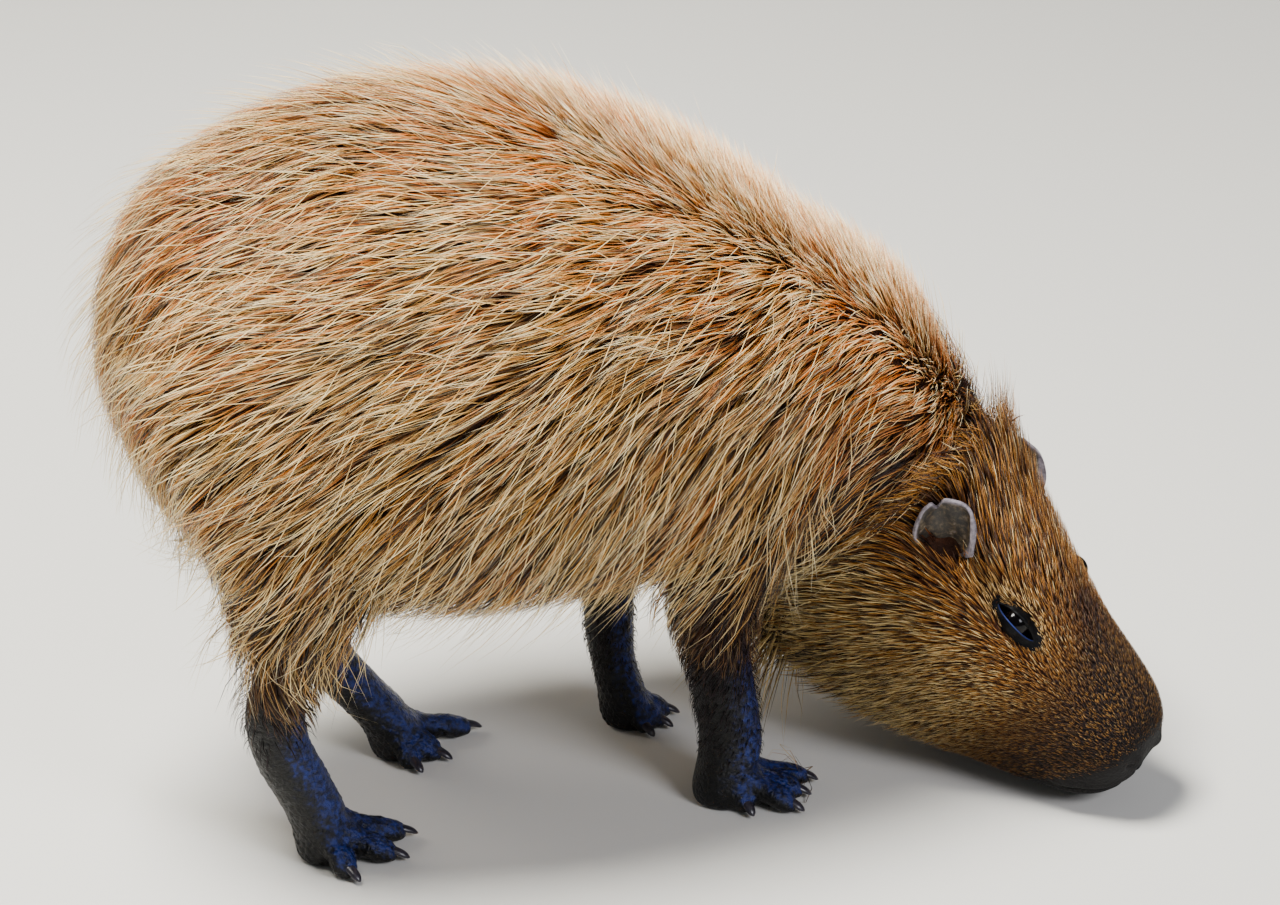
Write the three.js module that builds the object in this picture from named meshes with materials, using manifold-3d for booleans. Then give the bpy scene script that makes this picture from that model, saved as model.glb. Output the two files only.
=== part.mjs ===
// A life-size museum model of a grazing capybara. Millimetres, +Z up, +X along the trunk to the head.
import * as THREE from "three";
import { mergeVertices } from "three/addons/utils/BufferGeometryUtils.js";
import Module from "manifold-3d";

const wasm = await Module();
wasm.setup();

// Clear width between two nodes that touch.
const GAP = 0.35;

// The trunk in cross sections along X: height of back and belly, half width, height of the widest
// line and squareness of the section. All sizes are to the tips of the coat.
const TRUNK = [
  { x: -350, top: 462, bottom: 385, half: 34, wide: 422, power: 2.0 },
  { x: -336, top: 505, bottom: 340, half: 78, wide: 408, power: 2.1 },
  { x: -306, top: 545, bottom: 292, half: 112, wide: 392, power: 2.2 },
  { x: -258, top: 582, bottom: 246, half: 140, wide: 368, power: 2.25 },
  { x: -192, top: 609, bottom: 208, half: 162, wide: 352, power: 2.25 },
  { x: -108, top: 620, bottom: 190, half: 175, wide: 342, power: 2.25 },
  { x: -20, top: 607, bottom: 187, half: 174, wide: 340, power: 2.25 },
  { x: 60, top: 577, bottom: 190, half: 165, wide: 340, power: 2.25 },
  { x: 130, top: 540, bottom: 196, half: 154, wide: 340, power: 2.25 },
  { x: 190, top: 497, bottom: 206, half: 141, wide: 338, power: 2.2 },
  { x: 236, top: 455, bottom: 222, half: 120, wide: 330, power: 2.2 },
  { x: 268, top: 410, bottom: 244, half: 88, wide: 322, power: 2.1 },
];

// The neck in sections square to its path: centre, pitch down, turn to the right, half height above
// and below the centre and half width.
const NECK = [
  { x: 130, y: 0, z: 352, pitch: 24, yaw: 0, up: 152, down: 145, half: 142 },
  { x: 190, y: -2, z: 334, pitch: 30, yaw: 4, up: 142, down: 135, half: 134 },
  { x: 236, y: -8, z: 306, pitch: 37, yaw: 12, up: 134, down: 132, half: 124 },
  { x: 272, y: -18, z: 272, pitch: 41, yaw: 26, up: 124, down: 132, half: 114 },
  { x: 298, y: -30, z: 236, pitch: 44, yaw: 40, up: 112, down: 128, half: 103 },
  { x: 316, y: -44, z: 202, pitch: 44, yaw: 48, up: 98, down: 112, half: 90 },
];

// The coat: its core lies this far below the tips, and locks of hair fill the rest. A lock starts
// sunk below the core, thins towards its tip, and its tip may end an uneven step off the outline.
const COAT = { core: 11, head_core: 3, sunk: 7, thick: 12, thin: 5, uneven: 4.5 };
// Rows of locks: the first and last row's place in the table, how many go round, their length and
// how far they droop for each millimetre of it.
const TRUNK_LOCKS = {
  rows: 7, first: 1.5, last: 10.3, around: 11, long: 130, droop: 0.42,
  cover: 0.94, steps: 4, least_radius: 60,
};
const NECK_LOCKS = {
  rows: 3, first: 2.7, last: 4.3, around: 8, long: 66, droop: 0.25,
  cover: 0.94, steps: 4, least_radius: 60,
};

// The head frame: the midpoint between the ears, with the head turned to the right and down.
const EARS_AT = new THREE.Vector3(346, -90, 236);
const HEAD_YAW = -48;
const HEAD_PITCH = 44;

// The head in sections along its own length, measured from the ears: crown, throat, half width,
// height of the widest line and squareness.
const HEAD = [
  { a: -62, top: 44, bottom: -180, half: 92, wide: -64, power: 2.0 },
  { a: -25, top: 41, bottom: -197, half: 97, wide: -76, power: 2.0 },
  { a: 20, top: 38, bottom: -207, half: 98, wide: -88, power: 1.98 },
  { a: 60, top: 34, bottom: -208, half: 95, wide: -90, power: 2.0 },
  { a: 97, top: 29, bottom: -198, half: 88, wide: -85, power: 2.1 },
  { a: 135, top: 23, bottom: -178, half: 76, wide: -74, power: 2.25 },
  { a: 172, top: 19, bottom: -149, half: 63, wide: -62, power: 2.4 },
  { a: 205, top: 13, bottom: -119, half: 54, wide: -52, power: 2.55 },
  { a: 226, top: 3, bottom: -101, half: 48, wide: -48, power: 2.6 },
  { a: 239, top: -9, bottom: -89, half: 41, wide: -48, power: 2.5 },
  { a: 248, top: -23, bottom: -79, half: 30, wide: -50, power: 2.4 },
  { a: 253, top: -38, bottom: -67, half: 16, wide: -52, power: 2.2 },
];

// Where the trunk meets the neck and the neck meets the head.
const NECK_CUT = { at: [222, -4, 330], pitch: 18, yaw: 6 };
const HEAD_CUT_A = -36;

// Face: eyes, lids, nostrils and mouth. An eye is inset square to the surface of the head.
const EYE = { a: 91, c: 1, radius: 15, inset: 11.5 };
const LID = { half_long: 26, half_high: 9, thick: 3.8, lift: 0.6, tilt: 2.5 };
const NOSTRIL = { a: 236, b: 20, c: -24, hole: [10, 9, 4.5], hole_ahead: 5, rim: [11, 12, 8], rim_ahead: -3 };
const MOUTH = { from: 186, drop: 24, groove: 2.6, lip: 4.6, apart: 4.6, sunk: 1.6, out: 0.6 };

// Both ears: thick cups, the right one wide open to the side, the left one turned to the front.
const EAR = { a: 9, b: 61, c: -7, tall: 58, wide: 60, wall: 4, bend: 27, notch: 8, round: 7, curl: 5 };
const EAR_AXIS = [-0.45, 0.38, 0.78];
const EAR_OPENS = { right: [0.35, 0.93, -0.1], left: [0.8, 0.6, -0.1] };
const EAR_SUNK = { right: 9, left: 16 };

// Legs in level sections from the trunk down to the ball of the foot: centre, half length along X
// and half width along Y. Each toe starts at its knuckle.
const LEGS = {
  hind_right: {
    sections: [
      { x: -222, y: -70, z: 345, long: 88, wide: 58 },
      { x: -214, y: -84, z: 290, long: 76, wide: 54 },
      { x: -212, y: -88, z: 245, long: 58, wide: 46 },
      { x: -222, y: -88, z: 205, long: 43, wide: 37 },
      { x: -235, y: -87, z: 170, long: 35, wide: 30 },
      { x: -243, y: -86, z: 138, long: 31, wide: 25 },
      { x: -240, y: -85, z: 108, long: 27, wide: 22 },
      { x: -226, y: -85, z: 72, long: 26, wide: 24 },
      { x: -212, y: -86, z: 42, long: 26, wide: 26 },
      { x: -208, y: -87, z: 20, long: 22, wide: 24 },
      { x: -207, y: -87, z: -6, long: 19, wide: 21 },
    ],
    toes: [
      { x: -208, y: -103, reach: 27, turn: -66, thick: 12 },
      { x: -196, y: -94, reach: 42, turn: -24, thick: 13 },
      { x: -195, y: -76, reach: 52, turn: -5, thick: 12 },
    ],
  },
  hind_left: {
    sections: [
      { x: -150, y: 70, z: 345, long: 80, wide: 58 },
      { x: -130, y: 84, z: 290, long: 72, wide: 54 },
      { x: -122, y: 86, z: 245, long: 56, wide: 45 },
      { x: -136, y: 84, z: 205, long: 41, wide: 36 },
      { x: -156, y: 80, z: 168, long: 33, wide: 29 },
      { x: -172, y: 75, z: 132, long: 29, wide: 24 },
      { x: -171, y: 71, z: 100, long: 27, wide: 22 },
      { x: -147, y: 64, z: 66, long: 27, wide: 24 },
      { x: -124, y: 60, z: 40, long: 27, wide: 26 },
      { x: -114, y: 57, z: 20, long: 22, wide: 24 },
      { x: -112, y: 56, z: -6, long: 19, wide: 21 },
    ],
    toes: [
      { x: -114, y: 42, reach: 20, turn: -70, thick: 12 },
      { x: -106, y: 50, reach: 28, turn: -38, thick: 13 },
      { x: -105, y: 64, reach: 56, turn: 5, thick: 12 },
    ],
  },
  fore_right: {
    sections: [
      { x: 168, y: -74, z: 330, long: 62, wide: 46 },
      { x: 150, y: -84, z: 275, long: 57, wide: 44 },
      { x: 132, y: -88, z: 230, long: 50, wide: 40 },
      { x: 120, y: -90, z: 190, long: 42, wide: 35 },
      { x: 121, y: -89, z: 150, long: 34, wide: 30 },
      { x: 127, y: -88, z: 110, long: 28, wide: 26 },
      { x: 132, y: -88, z: 75, long: 27, wide: 25 },
      { x: 135, y: -90, z: 45, long: 28, wide: 27 },
      { x: 130, y: -94, z: 20, long: 26, wide: 27 },
      { x: 128, y: -95, z: -6, long: 24, wide: 25 },
    ],
    toes: [
      { x: 134, y: -108, reach: 18, turn: -80, thick: 10 },
      { x: 141, y: -107, reach: 42, turn: -40, thick: 11 },
      { x: 143, y: -96, reach: 46, turn: -22, thick: 11 },
      { x: 144, y: -80, reach: 56, turn: -14, thick: 10 },
    ],
  },
  fore_left: {
    sections: [
      { x: 138, y: 70, z: 330, long: 60, wide: 46 },
      { x: 116, y: 80, z: 275, long: 55, wide: 44 },
      { x: 96, y: 84, z: 230, long: 48, wide: 40 },
      { x: 85, y: 84, z: 190, long: 37, wide: 32 },
      { x: 82, y: 82, z: 150, long: 29, wide: 27 },
      { x: 80, y: 78, z: 110, long: 24, wide: 23 },
      { x: 78, y: 69, z: 75, long: 21, wide: 21 },
      { x: 81, y: 60, z: 45, long: 20, wide: 22 },
      { x: 87, y: 52, z: 20, long: 21, wide: 24 },
      { x: 89, y: 49, z: -6, long: 19, wide: 22 },
    ],
    toes: [
      { x: 90, y: 33, reach: 13, turn: -66, thick: 9 },
      { x: 95, y: 42, reach: 21, turn: -38, thick: 10 },
      { x: 96, y: 53, reach: 27, turn: -14, thick: 10 },
      { x: 94, y: 64, reach: 21, turn: 8, thick: 9 },
    ],
  },
};
// A toe in sections: a share of the way from the instep down to the knuckle, a share of its reach
// on from there, the height of its middle and shares of the full width and of the full height.
const INSTEP = { z: 60, share: 0.6 };
const TOE = [
  { down: 0, on: 0, middle: 55, wide: 0.75, high: 0.9 },
  { down: 0.5, on: 0, middle: 37, wide: 0.9, high: 1 },
  { down: 1, on: 0.08, middle: 20, wide: 1, high: 1 },
  { down: 1, on: 0.45, middle: 12.5, wide: 0.95, high: 0.95 },
  { down: 1, on: 0.8, middle: 9, wide: 1, high: 0.8 },
  { down: 1, on: 1, middle: 6.6, wide: 0.72, high: 0.55 },
];
// The web between two toes: shares of their reach where it starts and ends, its height there and
// its thickness.
const WEB = { share: [-0.1, 0.3, 0.66], height: [19, 13, 7], thick: 2.2 };
// A claw in sections: a step back into the toe, a share of its length, height and thickness.
const CLAW = { fore_long: 14, hind_long: 17, half_wide: 4.6, half_high: 4, lift: 0.8, sunk: 3 };
const CLAW_SECTIONS = [
  { step: -8, share: 0, height: 9.5, thick: 0.7 },
  { step: 0, share: 0.2, height: 8, thick: 1 },
  { step: 0, share: 0.6, height: 6, thick: 0.85 },
  { step: 0, share: 1, height: 3.6, thick: 0.3 },
];

// How finely each form is cut: sides round it and sections along it.
const FINE = {
  trunk: [24, 16],
  neck: [22, 8],
  neck_outline: [24, 9],
  head: [22, 18],
  leg: [10, 1.4],
  toe: 7,
  claw: 6,
  ear: 9,
  eye: [12, 9],
  lid: [5, 14],
  lip: 5,
  groove: 4,
  nostril: [8, 6],
};

const COLOURS = {
  coat: 0xb07a3c,
  head: 0x8a4a1c,
  leg: 0x4a3426,
  skin: 0x3a3436,
  claw: 0x1c1a1e,
  eye: 0x0c0a0c,
};

const rad = THREE.MathUtils.degToRad;

// One value of a table at a place along it, on a smooth curve through the rows.
function along(rows, key, place) {
  const last = rows.length - 1;
  const i = Math.min(Math.floor(place), last - 1);
  const t = place - i;
  const p = [i - 1, i, i + 1, i + 2].map((j) => rows[Math.max(0, Math.min(last, j))][key]);
  const rise = (p[2] - p[0]) / 2;
  const fall = (p[3] - p[1]) / 2;
  const t2 = t * t;
  const t3 = t2 * t;
  return (2 * t3 - 3 * t2 + 1) * p[1] + (t3 - 2 * t2 + t) * rise
    + (3 * t2 - 2 * t3) * p[2] + (t3 - t2) * fall;
}

// All values of a table row at a place along it.
function row(rows, place) {
  const out = {};
  for (const key of Object.keys(rows[0])) {
    out[key] = along(rows, key, place);
  }
  return out;
}

// A rounded section: x to the left and y up, with its own reach up and down.
function oval(angle, half, up, down, power) {
  const c = Math.cos(angle);
  const s = Math.sin(angle);
  const x = half * Math.sign(c) * Math.abs(c) ** (2 / power);
  const y = (s > 0 ? up : down) * Math.sign(s) * Math.abs(s) ** (2 / power);
  return [x, y];
}

// A closed solid through rings of points, which run anticlockwise seen from the far end.
function loft(rings) {
  const sides = rings[0].length;
  const points = rings.flat();
  const faces = [];
  for (let i = 0; i + 1 < rings.length; i += 1) {
    for (let j = 0; j < sides; j += 1) {
      const a = i * sides + j;
      const b = i * sides + ((j + 1) % sides);
      faces.push(a, b, b + sides, a, b + sides, a + sides);
    }
  }
  [0, rings.length - 1].forEach((end, k) => {
    const middle = new THREE.Vector3();
    rings[end].forEach((p) => middle.addScaledVector(p, 1 / sides));
    const centre = points.push(middle) - 1;
    for (let j = 0; j < sides; j += 1) {
      const a = end * sides + j;
      const b = end * sides + ((j + 1) % sides);
      faces.push(...(k ? [centre, a, b] : [centre, b, a]));
    }
  });
  const geometry = new THREE.BufferGeometry().setFromPoints(points);
  geometry.setIndex(faces);
  return geometry;
}

function solid(geometry) {
  const bare = geometry.clone();
  for (const name of Object.keys(bare.attributes)) {
    if (name !== "position") {
      bare.deleteAttribute(name);
    }
  }
  const merged = mergeVertices(bare, 1e-3);
  const made = new wasm.Manifold(new wasm.Mesh({
    numProp: 3,
    vertProperties: new Float32Array(merged.getAttribute("position").array),
    triVerts: new Uint32Array(merged.index.array),
  }));
  if (made.volume() > 0) {
    return made;
  }
  const index = merged.index.array;
  for (let i = 0; i < index.length; i += 3) {
    [index[i + 1], index[i + 2]] = [index[i + 2], index[i + 1]];
  }
  return solid(merged);
}

// A solid moved outwards all round by a distance.
function grown(body, distance) {
  const m = body.getMesh();
  const g = new THREE.BufferGeometry();
  const xyz = new Float32Array(m.numVert * 3);
  for (let i = 0; i < m.numVert; i += 1) {
    xyz.set(m.vertProperties.subarray(i * m.numProp, i * m.numProp + 3), i * 3);
  }
  g.setAttribute("position", new THREE.BufferAttribute(xyz, 3));
  g.setIndex(new THREE.BufferAttribute(m.triVerts, 1));
  g.computeVertexNormals();
  const n = g.getAttribute("normal");
  for (let i = 0; i < xyz.length; i += 1) {
    xyz[i] += distance * n.array[i];
  }
  return solid(g);
}

function joined(solids) {
  return solids.reduce((sum, s) => sum.add(s));
}

// The largest closed surface of a solid.
function largest(body) {
  return body.decompose().reduce((best, b) => (b.volume() > best.volume() ? b : best));
}

function meshOf(name, body, colour, roughness) {
  const m = largest(body).getMesh();
  const geometry = new THREE.BufferGeometry();
  const xyz = new Float32Array(m.numVert * 3);
  for (let i = 0; i < m.numVert; i += 1) {
    xyz.set(m.vertProperties.subarray(i * m.numProp, i * m.numProp + 3), i * 3);
  }
  geometry.setAttribute("position", new THREE.BufferAttribute(xyz, 3));
  geometry.setIndex(new THREE.BufferAttribute(m.triVerts, 1));
  const material = new THREE.MeshStandardMaterial({ color: colour, roughness, metalness: 0 });
  const mesh = new THREE.Mesh(geometry, material);
  mesh.name = name;
  return mesh;
}

// The far side of a plane, as a large box: all that lies ahead of it, or behind it when turned.
function beyond(point, direction, offset) {
  const size = 1200;
  const box = new THREE.BoxGeometry(size, size, size).translate(0, 0, size / 2);
  const turn = new THREE.Quaternion().setFromUnitVectors(new THREE.Vector3(0, 0, 1), direction);
  box.applyQuaternion(turn);
  const start = point.clone().addScaledVector(direction, offset);
  return solid(box.translate(start.x, start.y, start.z));
}

function heading(pitch, yaw) {
  return new THREE.Vector3(
    Math.cos(rad(pitch)) * Math.cos(rad(yaw)),
    -Math.cos(rad(pitch)) * Math.sin(rad(yaw)),
    -Math.sin(rad(pitch)),
  );
}

const headTurn = new THREE.Matrix4()
  .makeTranslation(EARS_AT.x, EARS_AT.y, EARS_AT.z)
  .multiply(new THREE.Matrix4().makeRotationZ(rad(HEAD_YAW)))
  .multiply(new THREE.Matrix4().makeRotationY(rad(HEAD_PITCH)));

// A point of the head: a forwards, b to its left, c up.
function inHead(a, b, c) {
  return new THREE.Vector3(a, b, c).applyMatrix4(headTurn);
}

// A point of the trunk's outline at a place in its table, an angle round it and a depth below it.
function trunkPoint(place, angle, depth) {
  const r = row(TRUNK, place);
  const sink = Math.min(depth, r.half * 0.6);
  const end = place < 1 ? (1 - place) * depth : 0;
  const up = r.top - r.wide - sink;
  const down = r.wide - r.bottom - sink;
  const [y, z] = oval(angle, r.half - sink, up, down, r.power);
  return new THREE.Vector3(r.x + end, y, r.wide + z);
}

function neckPoint(place, angle, depth) {
  const r = row(NECK, place);
  const ahead = heading(r.pitch, r.yaw);
  const left = new THREE.Vector3(0, 0, 1).cross(ahead).normalize();
  const up = ahead.clone().cross(left);
  const [b, c] = oval(angle, r.half - depth, r.up - depth, r.down - depth, 2.2);
  return new THREE.Vector3(r.x, r.y, r.z).addScaledVector(left, b).addScaledVector(up, c);
}

// Rings of points round the trunk or the neck, at a depth that may change along it.
function ringsOf(pointAt, last, sides, count, depthAt) {
  const rings = [];
  for (let i = 0; i <= count; i += 1) {
    const place = (i / count) * last;
    rings.push(Array.from(
      { length: sides },
      (_, j) => pointAt(place, (j / sides) * 2 * Math.PI, depthAt(place)),
    ));
  }
  return rings;
}

// Repeatable random numbers from 0 to 1.
function seeded(seed) {
  let state = seed;
  return () => {
    state = (state * 1664525 + 1013904223) % 4294967296;
    return state / 4294967296;
  };
}

// How far down the side an angle moves, for the same droop on both sides of the back.
function drooped(angle, amount) {
  const toSide = Math.tanh(-3 * Math.cos(angle));
  return angle + amount * toSide;
}

// Places and angles along a lock, walked backwards from its root over the outline.
function lockPath(pointAt, place, angle, plan, long, radius) {
  const stride = 0.02;
  const rear = 0.12;
  const path = [];
  let here = place;
  let walked = 0;
  let spot = pointAt(here, angle, 0);
  for (let i = 0; i <= plan.steps; i += 1) {
    const goal = (i / plan.steps) * long;
    while (walked < goal && here > rear) {
      here -= stride;
      const next = pointAt(here, angle, 0);
      walked += next.distanceTo(spot);
      spot = next;
    }
    path.push([here, drooped(angle, (plan.droop * goal) / radius)]);
  }
  return path;
}

// One flat, tapered lock that follows the body backwards and down from its root, rises from below
// the core to the tips, and narrows to its end.
function lock(pointAt, depthAt, place, angle, plan, long, half, lift) {
  const across = pointAt(place, angle, 0).distanceTo(pointAt(place, angle + Math.PI, 0));
  const radius = Math.max(plan.least_radius, across / 2);
  const path = lockPath(pointAt, place, angle, plan, long, radius);
  const rings = path.map(([p, t], i) => {
    const s = i / plan.steps;
    const rise = 1 - (1 - s) ** 2.6;
    const depth = (depthAt(p) + COAT.sunk) * (1 - rise) + lift * rise;
    const thick = COAT.thick * (1 - s) + COAT.thin * s;
    const edge = depth + thick * 0.4;
    const wide = (half * (0.9 + 0.4 * s - 1.18 * s * s)) / radius;
    return [
      pointAt(p, t - wide, edge),
      pointAt(p, t, depth + thick),
      pointAt(p, t + wide, edge),
      pointAt(p, t, depth),
    ];
  });
  return solid(loft(rings));
}

// Rows of locks, each row set half a lock on from the one before.
function coat(pointAt, depthAt, plan, seed) {
  const random = seeded(seed);
  const locks = [];
  const small = 0.1;
  for (let i = 0; i < plan.rows; i += 1) {
    const place = plan.first + ((plan.last - plan.first) * i) / (plan.rows - 1);
    for (let j = 0; j < plan.around; j += 1) {
      const share = (j + (i % 2) / 2 + 0.3 * (random() - 0.5)) / plan.around;
      const angle = share * 2 * Math.PI;
      const step = pointAt(place, angle, 0).distanceTo(pointAt(place, angle + small, 0));
      const half = ((step / small) * Math.PI * plan.cover) / plan.around;
      const start = place - 0.3 * random();
      const long = plan.long * (0.86 + 0.28 * random());
      const lift = COAT.uneven * (1 - 2 * random());
      locks.push(lock(pointAt, depthAt, start, angle, plan, long, half, lift));
    }
  }
  return locks;
}

// Sections of the head.
function headRings(sides, count) {
  const rings = [];
  for (let i = 0; i <= count; i += 1) {
    const r = row(HEAD, (i / count) * (HEAD.length - 1));
    rings.push(Array.from({ length: sides }, (_, j) => {
      const [b, c] = oval((j / sides) * 2 * Math.PI, r.half, r.top - r.wide, r.wide - r.bottom, r.power);
      return inHead(r.a, b, r.wide + c);
    }));
  }
  return rings;
}

// The place in the head table of a distance from the ears.
function headPlace(a) {
  let low = 0;
  let high = HEAD.length - 1;
  while (high - low > 1e-4) {
    const mid = (low + high) / 2;
    if (along(HEAD, "a", mid) < a) {
      low = mid;
    } else {
      high = mid;
    }
  }
  return low;
}

// Half width of the head at a distance from the ears and a height.
function headHalf(a, c) {
  const r = row(HEAD, headPlace(a));
  const reach = c > r.wide ? r.top - r.wide : r.wide - r.bottom;
  const share = Math.min(1, Math.abs(c - r.wide) / reach);
  return r.half * (1 - share ** r.power) ** (1 / r.power);
}

// A round bar along a path of points.
function bar(points, radius, sides, closed) {
  const curve = new THREE.CatmullRomCurve3(points, closed);
  const steps = Math.round(points.length * 1.3);
  if (closed) {
    return solid(new THREE.TubeGeometry(curve, steps, radius, sides, true));
  }
  const frames = curve.computeFrenetFrames(steps, false);
  const rings = [];
  for (let i = 0; i <= steps; i += 1) {
    const middle = curve.getPointAt(i / steps);
    rings.push(Array.from({ length: sides }, (_, j) => {
      const t = (j / sides) * 2 * Math.PI;
      return middle.clone()
        .addScaledVector(frames.normals[i], radius * Math.cos(t))
        .addScaledVector(frames.binormals[i], radius * Math.sin(t));
    }));
  }
  return solid(loft(rings));
}

// An ellipsoid in the head's own axes.
function headBlob(middle, halves, fine) {
  const g = new THREE.SphereGeometry(1, ...fine).scale(...halves).translate(...middle);
  return solid(g.applyMatrix4(headTurn));
}

// The way out of the head's side at the eye, as shares to the side and up.
function eyeFacing() {
  const slope = headHalf(EYE.a, EYE.c + 1) - headHalf(EYE.a, EYE.c - 1);
  return new THREE.Vector2(2, -slope).normalize();
}

function eyeCentre(side) {
  const facing = eyeFacing();
  const out = headHalf(EYE.a, EYE.c) - EYE.inset * facing.x;
  return [EYE.a, side * out, EYE.c - EYE.inset * facing.y];
}

function eyeball(side, extra) {
  const [a, b, c] = eyeCentre(side);
  const radius = EYE.radius + extra;
  return headBlob([a, b, c], [radius, radius, radius], FINE.eye);
}

// The two lids as one raised almond round the eye, pointed at both corners.
function lids(side) {
  const points = [];
  const [sides, count] = FINE.lid;
  for (let i = 0; i < count; i += 1) {
    const t = (i / count) * 2 * Math.PI;
    const a = EYE.a + LID.half_long * Math.cos(t);
    const high = LID.half_high * eyeFacing().x * Math.sin(t) * Math.abs(Math.sin(t)) ** 0.35;
    const c = EYE.c + high + LID.tilt * Math.cos(t);
    points.push(inHead(a, side * (headHalf(a, c) + LID.lift), c));
  }
  return bar(points, LID.thick, sides, true);
}

// The line of the mouth, round the front of the muzzle, moved up or down by a step.
function mouthLine(step, out) {
  const points = [];
  const line = (a) => along(HEAD, "bottom", headPlace(a)) + MOUTH.drop + step;
  const stations = [MOUTH.from, 206, 221, 231, 237];
  for (const a of stations) {
    points.push(inHead(a, -(headHalf(a, line(a)) + out), line(a)));
  }
  points.push(inHead(243 + out, 0, line(240)));
  for (const a of stations.reverse()) {
    points.push(inHead(a, headHalf(a, line(a)) + out, line(a)));
  }
  return points;
}

// A cupped ear: a bent plate, open to the side and a little forwards, with its root in the head.
function ear(side, word, wall) {
  const rows = FINE.ear;
  const columns = FINE.ear;
  const axis = new THREE.Vector3(...EAR_AXIS).normalize();
  const opens = new THREE.Vector3(...EAR_OPENS[word]);
  opens.addScaledVector(axis, -opens.dot(axis)).normalize();
  const front = opens.clone().cross(axis).normalize();
  const outer = [];
  const inner = [];
  for (let i = 0; i < rows; i += 1) {
    const v = i / (rows - 1);
    const reach = EAR.wide * (0.5 * Math.sqrt(Math.max(0, 1 - ((v - 0.6) / 0.62) ** 2)) + 0.05);
    for (let j = 0; j < columns; j += 1) {
      const u = -1 + (2 * j) / (columns - 1);
      const turn = u * (reach / EAR.bend);
      const notch = EAR.notch * Math.exp(-(((u + 0.5) / 0.22) ** 2)) * v ** 4;
      const lower = notch + EAR.round * Math.abs(u) ** 3 * v;
      const height = v * EAR.tall - EAR_SUNK[word] - lower;
      [[outer, EAR.bend + wall / 2], [inner, EAR.bend - wall / 2]].forEach(([list, radius]) => {
        const p = new THREE.Vector3(EAR.a, EAR.b, EAR.c)
          .addScaledVector(axis, height)
          .addScaledVector(front, radius * Math.sin(turn))
          .addScaledVector(opens, EAR.bend * 0.8 - radius * Math.cos(turn) - EAR.curl * v * v);
        list.push(inHead(p.x, side * p.y, p.z));
      });
    }
  }
  const points = outer.concat(inner);
  const faces = [];
  const n = rows * columns;
  const quad = (p, q, r, s) => faces.push(p, q, r, p, r, s);
  for (let i = 0; i + 1 < rows; i += 1) {
    for (let j = 0; j + 1 < columns; j += 1) {
      const k = i * columns + j;
      quad(k, k + 1, k + columns + 1, k + columns);
      quad(n + k, n + k + columns, n + k + columns + 1, n + k + 1);
    }
    const first = i * columns;
    const last = first + columns - 1;
    quad(first, first + columns, n + first + columns, n + first);
    quad(last, n + last, n + last + columns, last + columns);
  }
  for (let j = 0; j + 1 < columns; j += 1) {
    const top = (rows - 1) * columns + j;
    quad(j, n + j, n + j + 1, j + 1);
    quad(top, top + 1, n + top + 1, n + top);
  }
  const g = new THREE.BufferGeometry().setFromPoints(points);
  g.setIndex(faces);
  return g;
}

function legSolid(leg) {
  const [sides, share] = FINE.leg;
  const count = Math.round((leg.sections.length - 1) * share);
  const rings = [];
  for (let i = 0; i <= count; i += 1) {
    const r = row(leg.sections, (i / count) * (leg.sections.length - 1));
    rings.push(Array.from({ length: sides }, (_, j) => {
      const t = -(j / sides) * 2 * Math.PI;
      return new THREE.Vector3(r.x + r.long * Math.cos(t), r.y + r.wide * Math.sin(t), r.z);
    }));
  }
  return solid(loft(rings));
}

// The way ahead and to the left of a toe.
function toeWays(toe) {
  const ahead = new THREE.Vector3(Math.cos(rad(toe.turn)), Math.sin(rad(toe.turn)), 0);
  return { ahead, left: new THREE.Vector3(-ahead.y, ahead.x, 0) };
}

// One toe: a ridge down the instep to its knuckle and from there along the floor to its tip.
function toeRings(leg, toe) {
  const { ahead, left } = toeWays(toe);
  const lower = leg.sections.findIndex((section) => section.z < INSTEP.z);
  const [over, under] = [leg.sections[lower - 1], leg.sections[lower]];
  const share = (over.z - INSTEP.z) / (over.z - under.z);
  const at = (key) => over[key] + (under[key] - over[key]) * share;
  const instep = new THREE.Vector3(
    at("x") + INSTEP.share * at("long") * ahead.x, at("y") + INSTEP.share * at("wide") * ahead.y, 0,
  );
  const knuckle = new THREE.Vector3(toe.x, toe.y, 0);
  return TOE.map((section) => {
    const middle = instep.clone().lerp(knuckle, section.down);
    middle.addScaledVector(ahead, section.on * toe.reach);
    const high = toe.thick * section.high;
    return Array.from({ length: FINE.toe }, (_, j) => {
      const turn = (j / FINE.toe) * 2 * Math.PI;
      const [b, c] = oval(turn, toe.thick * section.wide, high, high, 2.2);
      return middle.clone().addScaledVector(left, b).setZ(section.middle + c);
    });
  });
}

// The web of skin between two toes.
function webRings(first, second) {
  const edge = (toe, share) => {
    const knuckle = new THREE.Vector3(toe.x, toe.y, 0);
    return knuckle.addScaledVector(toeWays(toe).ahead, share * toe.reach);
  };
  return WEB.share.map((share, i) => {
    const [p, q] = [edge(first, share), edge(second, share)];
    const at = (point, side) => point.clone().setZ(WEB.height[i] + side * WEB.thick);
    return [at(p, -1), at(q, -1), at(q, 1), at(p, 1)];
  });
}

// The claw at the tip of a toe, which may be larger all round to clear a socket for it.
function clawRings(toe, long, extra) {
  const { ahead, left } = toeWays(toe);
  return CLAW_SECTIONS.map((section) => {
    const far = toe.reach - CLAW.sunk + section.step + section.share * long;
    const middle = new THREE.Vector3(toe.x, toe.y, 0).addScaledVector(ahead, far);
    const wide = CLAW.half_wide * section.thick + extra;
    const high = CLAW.half_high * section.thick + extra;
    const level = Math.max(section.height, high + CLAW.lift);
    return Array.from({ length: FINE.claw }, (_, j) => {
      const [b, c] = oval((j / FINE.claw) * 2 * Math.PI, wide, high, high, 2);
      return middle.clone().addScaledVector(left, b).setZ(level + c);
    });
  });
}

const group = new THREE.Group();

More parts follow.
